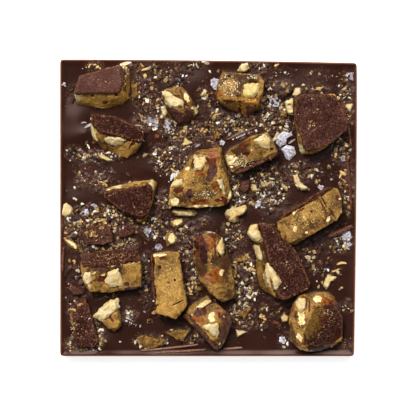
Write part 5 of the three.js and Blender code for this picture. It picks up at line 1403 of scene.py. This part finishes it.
def larger_crumbs(draws):
    """Kind, x, y and size of each of the larger crumbs."""
    for x, y, wide, deep, count in CRUMB_PATCHES:
        for i in range(count):
            turn = i * GOLDEN_ANGLE + x
            reach = math.sqrt((i + 0.5) / count)
            px = max(-CRUMB_REACH, min(CRUMB_REACH, x + wide * reach * math.cos(turn)))
            py = max(-CRUMB_REACH, min(CRUMB_REACH, y + deep * reach * math.sin(turn)))
            size = CRUMB_LARGEST + (CRUMB_SMALLEST - CRUMB_LARGEST) * math.sqrt(i / count)
            # those strewn over the whole slab are chocolate, and hardly show
            mix = "larger" if wide < CRUMB_REACH else "chocolate"
            yield draws.choices(CRUMB_KINDS, MIXES[mix])[0], px, py, size


def fine_crumbs(draws, crumbs):
    """Kind, x, y and size of each fine crumb, in drifts with clumps in them."""
    for x, y, wide, deep, thickness, mix in DRIFTS:
        count = round(math.pi * wide * deep * thickness * crumbs.density)
        clumps = []
        for _ in range(count):
            turn = draws.uniform(0, math.tau)
            reach = draws.random() ** 0.6
            px = x + wide * reach * math.cos(turn)
            py = y + deep * reach * math.sin(turn)
            if len(clumps) * CLUMP_SIZE < count:
                clumps.append((px, py))
            elif draws.random() < crumbs.clump:
                px, py = (at + draws.gauss(0, CLUMP_SPREAD) for at in draws.choice(clumps))
            if max(abs(px), abs(py)) > SLAB_HALF - DRIFT_MARGIN:
                continue
            size = crumbs.finest
            size += (crumbs.coarsest - crumbs.finest) * draws.random() ** 3.2
            kind = draws.choices(CRUMB_KINDS, MIXES[mix])[0]
            yield kind, px, py, size * (0.8 if kind == "salt" else 1)


def sprinkled_crumbs(draws):
    """Kind, x, y and size of each crumb caught on the coats and chunks."""
    for x, y, wide, deep, count in SPRINKLES:
        for _ in range(count):
            px = x + wide * draws.gauss(0, 0.45)
            py = y + deep * draws.gauss(0, 0.45)
            yield draws.choice(("toffee", "toffee", "nut", "skin")), px, py, draws.uniform(0.25, 0.55)


def scatter(crumbs):
    """Every crumb's kind, shape, place and shade."""
    draws = random.Random(crumbs.seed)
    fine = [crumb_shape(draws, 1) for _ in range(FINE_SHAPES)]
    coarse = [crumb_shape(draws, 2) for _ in range(COARSE_SHAPES)]
    plates = [plate_shape(draws) for _ in range(PLATE_SHAPES)]
    slivers = [sliver_shape(draws) for _ in range(SLIVER_SHAPES)]
    placed = {kind: [] for kind in CRUMB_KINDS}
    tops = {}

    def drop(kind, x, y, size, buried=USUAL_SINK, on_chunks=True):
        """Lays a crumb on whatever is under it, unless that is a chunk that it would slide off."""
        ground = float(slab_top(x, y))
        chunk = chunk_top(x, y)
        if chunk is not None and chunk > ground + 0.2:
            if chunk > ground + LOW_CHUNK and not on_chunks:
                return
            ground = chunk
        key = (round(x / HEAP_CELL), round(y / HEAP_CELL))
        ground = max(ground, min(tops.get(key, 0), SLAB_THICKNESS + HEAP_HEIGHT))
        flat = draws.random() < (0.6 if kind == "salt" else 0.3)
        shape = draws.choice(plates if flat else coarse if size > COARSE else fine)
        stretch = draws.uniform(0.7, 1.05)
        squash = Vector((size / stretch, size * stretch, size * (1 if flat else draws.uniform(0.5, 0.9))))
        turn = Euler([draws.uniform(-0.6, 0.6), draws.uniform(-0.6, 0.6), draws.uniform(0, math.tau)])
        thick = squash.z * (0.3 if flat else 1)
        place = Matrix.LocRotScale(Vector((x, y, ground + thick * (0.5 - buried))), turn, squash)
        placed[kind].append((shape, place, draws.random() ** 1.3))
        tops[key] = ground + thick * (0.7 - buried)

    for crumb in larger_crumbs(draws):
        drop(*crumb, buried=1 - CRUMB_EXPOSED, on_chunks=False)
    for x, y, size in TAN_CRUMBS:
        drop("toffee", x, y, size, SHALLOW_SINK)
    for crumb in fine_crumbs(draws, crumbs):
        drop(*crumb, on_chunks=False)
    for crumb in sprinkled_crumbs(draws):
        drop(*crumb)
    for x, y, size in PALE_SPECKS:
        drop("salt" if size < LARGEST_GRAIN else "nut", x, y, size, SPECK_SINK)
    for x, y, size, kind in ON_CHUNKS:
        drop(kind, x, y, size, SHALLOW_SINK)
    for x, y, length, turn, kind in SLIVERS:
        ground = max(float(slab_top(x, y)), chunk_top(x, y) or 0)
        place = Matrix.LocRotScale(Vector((x, y, ground + SLIVER_LIFT)), Euler((0, 0, math.radians(turn))),
                                   Vector((length,) * 3))
        placed[kind].append((draws.choice(slivers), place, draws.random()))
    return placed


def make_crumbs(looks):
    """The crumbs of toffee, nut, chocolate, nut skin and salt, one piece for each."""
    placed = scatter(looks.crumbs)
    finishes = {
        "toffee": ("toffee_crumbs", "toffee", ("crushed toffee", "#3a220f", "#e2b974", 0.3)),
        "nut": ("nut_crumbs", "pecan", ("crushed pecan", "#a07a42", "#faf0d2", 0.34)),
        "chocolate": ("chocolate_crumbs", "chocolate", ("crushed chocolate", "#1a0b07", "#5e4134", 0.32)),
        "skin": ("nut_skin_crumbs", "flake", ("crushed nut skin", "#32140a", "#7a4526", 0.34)),
        "salt": ("salt_grains", None, ("grains of salt", "#948a84", "#f6f2ee", 0.25, 0.2)),
    }
    for kind, (name, slot, finish) in finishes.items():
        finish_piece(joined(name, placed[kind]), name, crumb_material(*finish), slot, smooth=False)


def set_stage(looks):
    """The pale floor, the soft key light from the far side, the fill and the camera."""
    bm = bmesh.new()
    bmesh.ops.create_grid(bm, x_segments=8, y_segments=8, size=FLOOR_HALF * MM,
                          matrix=Matrix.Translation((0, 0, -FLOOR_GAP * MM)))
    floor = linked("floor", mesh_of(bm, "floor"))
    floor.data.materials.append(pale_floor())

    sun = bpy.data.lights.new("key", "SUN")
    sun.energy = looks.stage.key
    sun.angle = looks.stage.softness
    key = linked("key", sun)
    key.rotation_euler = Vector(KEY_FROM).to_track_quat("Z", "Y").to_euler()
    key.visible_glossy = False      # the soft box is what the glossy faces mirror

    world = bpy.data.worlds.new("studio")
    world.use_nodes = True
    world.node_tree.nodes.clear()
    add = partial(add_node, world.node_tree)
    # pale walls all round under a dark ceiling, so that level faces don't mirror a bright sky
    way = add("TexCoord", gives="Generated")
    height = add("SeparateXYZ", {"Vector": way}, gives="Z")
    strength = add("MapRange", {
        "Value": height, "From Min": 0.72, "From Max": 0.94, "To Min": looks.stage.fill,
        "To Max": looks.stage.overhead}, interpolation_type="SMOOTHSTEP")
    # the soft box on the far side gives the chocolate its broad sheen
    nearness = add("VectorMath", {0: way, 1: Vector(SOFT_BOX_FROM).normalized()}, gives="Value",
                   operation="DOT_PRODUCT")
    glow = add("MapRange", {
        "Value": nearness, "From Min": 0.8, "From Max": 0.99, "To Min": 0, "To Max": looks.stage.softbox})
    total = add("Math", {0: strength, 1: glow}, operation="ADD")
    background = add("Background", {"Color": (1, 1, 1, 1), "Strength": total})
    add("OutputWorld", {"Surface": background})
    bpy.context.scene.world = world
    bpy.context.scene.view_settings.view_transform = "Standard"

    # the photo is taken from straight above
    pixel = 2 * SLAB_HALF * MM / SLAB_PIXELS
    lens = bpy.data.cameras.new("camera")
    lens.sensor_width = SENSOR
    lens.lens = SENSOR * (CAMERA_HEIGHT - SLAB_THICKNESS) * MM / (PHOTO_PIXELS * pixel)
    lens.clip_end = 10
    camera = linked("camera", lens)
    camera.location = (CAMERA_PIXELS[0] * pixel, CAMERA_PIXELS[1] * pixel, CAMERA_HEIGHT * MM)
    bpy.context.scene.camera = camera


class MakeSlab(bpy.types.Operator):
    """Make the poured slab"""
    bl_idname = "brittle_slab.make_slab"
    bl_label = "Poured slab"

    def execute(self, context):
        make_slab(context.scene.brittle_slab)
        return {"FINISHED"}


class MakeToffee(bpy.types.Operator):
    """Make the broken toffee of the chunks"""
    bl_idname = "brittle_slab.make_toffee"
    bl_label = "Broken toffee"

    def execute(self, context):
        make_toffee(context.scene.brittle_slab)
        return {"FINISHED"}


class MakeCoats(bpy.types.Operator):
    """Make the chocolate coats and the low coated pieces"""
    bl_idname = "brittle_slab.make_coats"
    bl_label = "Chocolate coats"

    def execute(self, context):
        make_coats(context.scene.brittle_slab)
        return {"FINISHED"}


class MakePecans(bpy.types.Operator):
    """Make the pecan pieces"""
    bl_idname = "brittle_slab.make_pecans"
    bl_label = "Pecans"

    def execute(self, context):
        make_pecans(context.scene.brittle_slab)
        return {"FINISHED"}


class MakeLowPieces(bpy.types.Operator):
    """Make the crumbly pieces and the thin toffee flakes"""
    bl_idname = "brittle_slab.make_low_pieces"
    bl_label = "Crumbly pieces and flakes"

    def execute(self, context):
        make_low_pieces(context.scene.brittle_slab)
        return {"FINISHED"}


class MakeSmallToppings(bpy.types.Operator):
    """Make the small pecans, toffee bits and chocolate bits"""
    bl_idname = "brittle_slab.make_small_toppings"
    bl_label = "Small toppings"

    def execute(self, context):
        make_small_toppings(context.scene.brittle_slab)
        return {"FINISHED"}


class MakeSaltFlakes(bpy.types.Operator):
    """Make the flakes of salt"""
    bl_idname = "brittle_slab.make_salt_flakes"
    bl_label = "Salt flakes"

    def execute(self, context):
        make_salt_flakes(context.scene.brittle_slab)
        return {"FINISHED"}


class MakeShards(bpy.types.Operator):
    """Make the chocolate shards"""
    bl_idname = "brittle_slab.make_shards"
    bl_label = "Chocolate shards"

    def execute(self, context):
        make_shards()
        return {"FINISHED"}


class MakeCrumbs(bpy.types.Operator):
    """Make the crumbs of toffee, nut, chocolate, nut skin and salt"""
    bl_idname = "brittle_slab.make_crumbs"
    bl_label = "Crumbs"

    def execute(self, context):
        make_crumbs(context.scene.brittle_slab)
        return {"FINISHED"}


class SetStage(bpy.types.Operator):
    """Set the floor, the light and the camera"""
    bl_idname = "brittle_slab.set_stage"
    bl_label = "Stage"

    def execute(self, context):
        set_stage(context.scene.brittle_slab)
        return {"FINISHED"}


MAKERS = (MakeSlab, MakeToffee, MakeCoats, MakePecans, MakeLowPieces, MakeSmallToppings, MakeSaltFlakes,
          MakeShards, MakeCrumbs, SetStage)
GROUPS = (SlabSettings, BrittleSettings, CrumbSettings, ColourSettings, StageSettings, SlabLooks)


class BrittleSlabPanel(bpy.types.Panel):
    """Lists the pieces of the slab and their settings"""
    bl_idname = "VIEW3D_PT_brittle_slab"
    bl_label = "Brittle slab"
    bl_space_type = "VIEW_3D"
    bl_region_type = "UI"
    bl_category = "Brittle slab"

    def draw(self, context):
        looks = context.scene.brittle_slab
        for maker in MAKERS:
            self.layout.operator(maker.bl_idname)
        for group in (looks.slab, looks.brittle, looks.crumbs, looks.colours, looks.stage):
            box = self.layout.box()
            for name in group.__annotations__:
                box.prop(group, name)


def register():
    """Adds the pieces' settings, operators and panel to Blender."""
    for cls in (*GROUPS, *MAKERS, BrittleSlabPanel):
        bpy.utils.register_class(cls)
    bpy.types.Scene.brittle_slab = PointerProperty(type=SlabLooks)


def unregister():
    """Takes them away again."""
    del bpy.types.Scene.brittle_slab
    for cls in reversed((*GROUPS, *MAKERS, BrittleSlabPanel)):
        bpy.utils.unregister_class(cls)


def main():
    register()
    ops = bpy.ops.brittle_slab
    ops.make_slab()
    ops.make_toffee()
    ops.make_coats()
    ops.make_pecans()
    ops.make_low_pieces()
    ops.make_small_toppings()
    ops.make_salt_flakes()
    ops.make_shards()
    ops.make_crumbs()
    ops.set_stage()


if __name__ == "__main__":
    main()
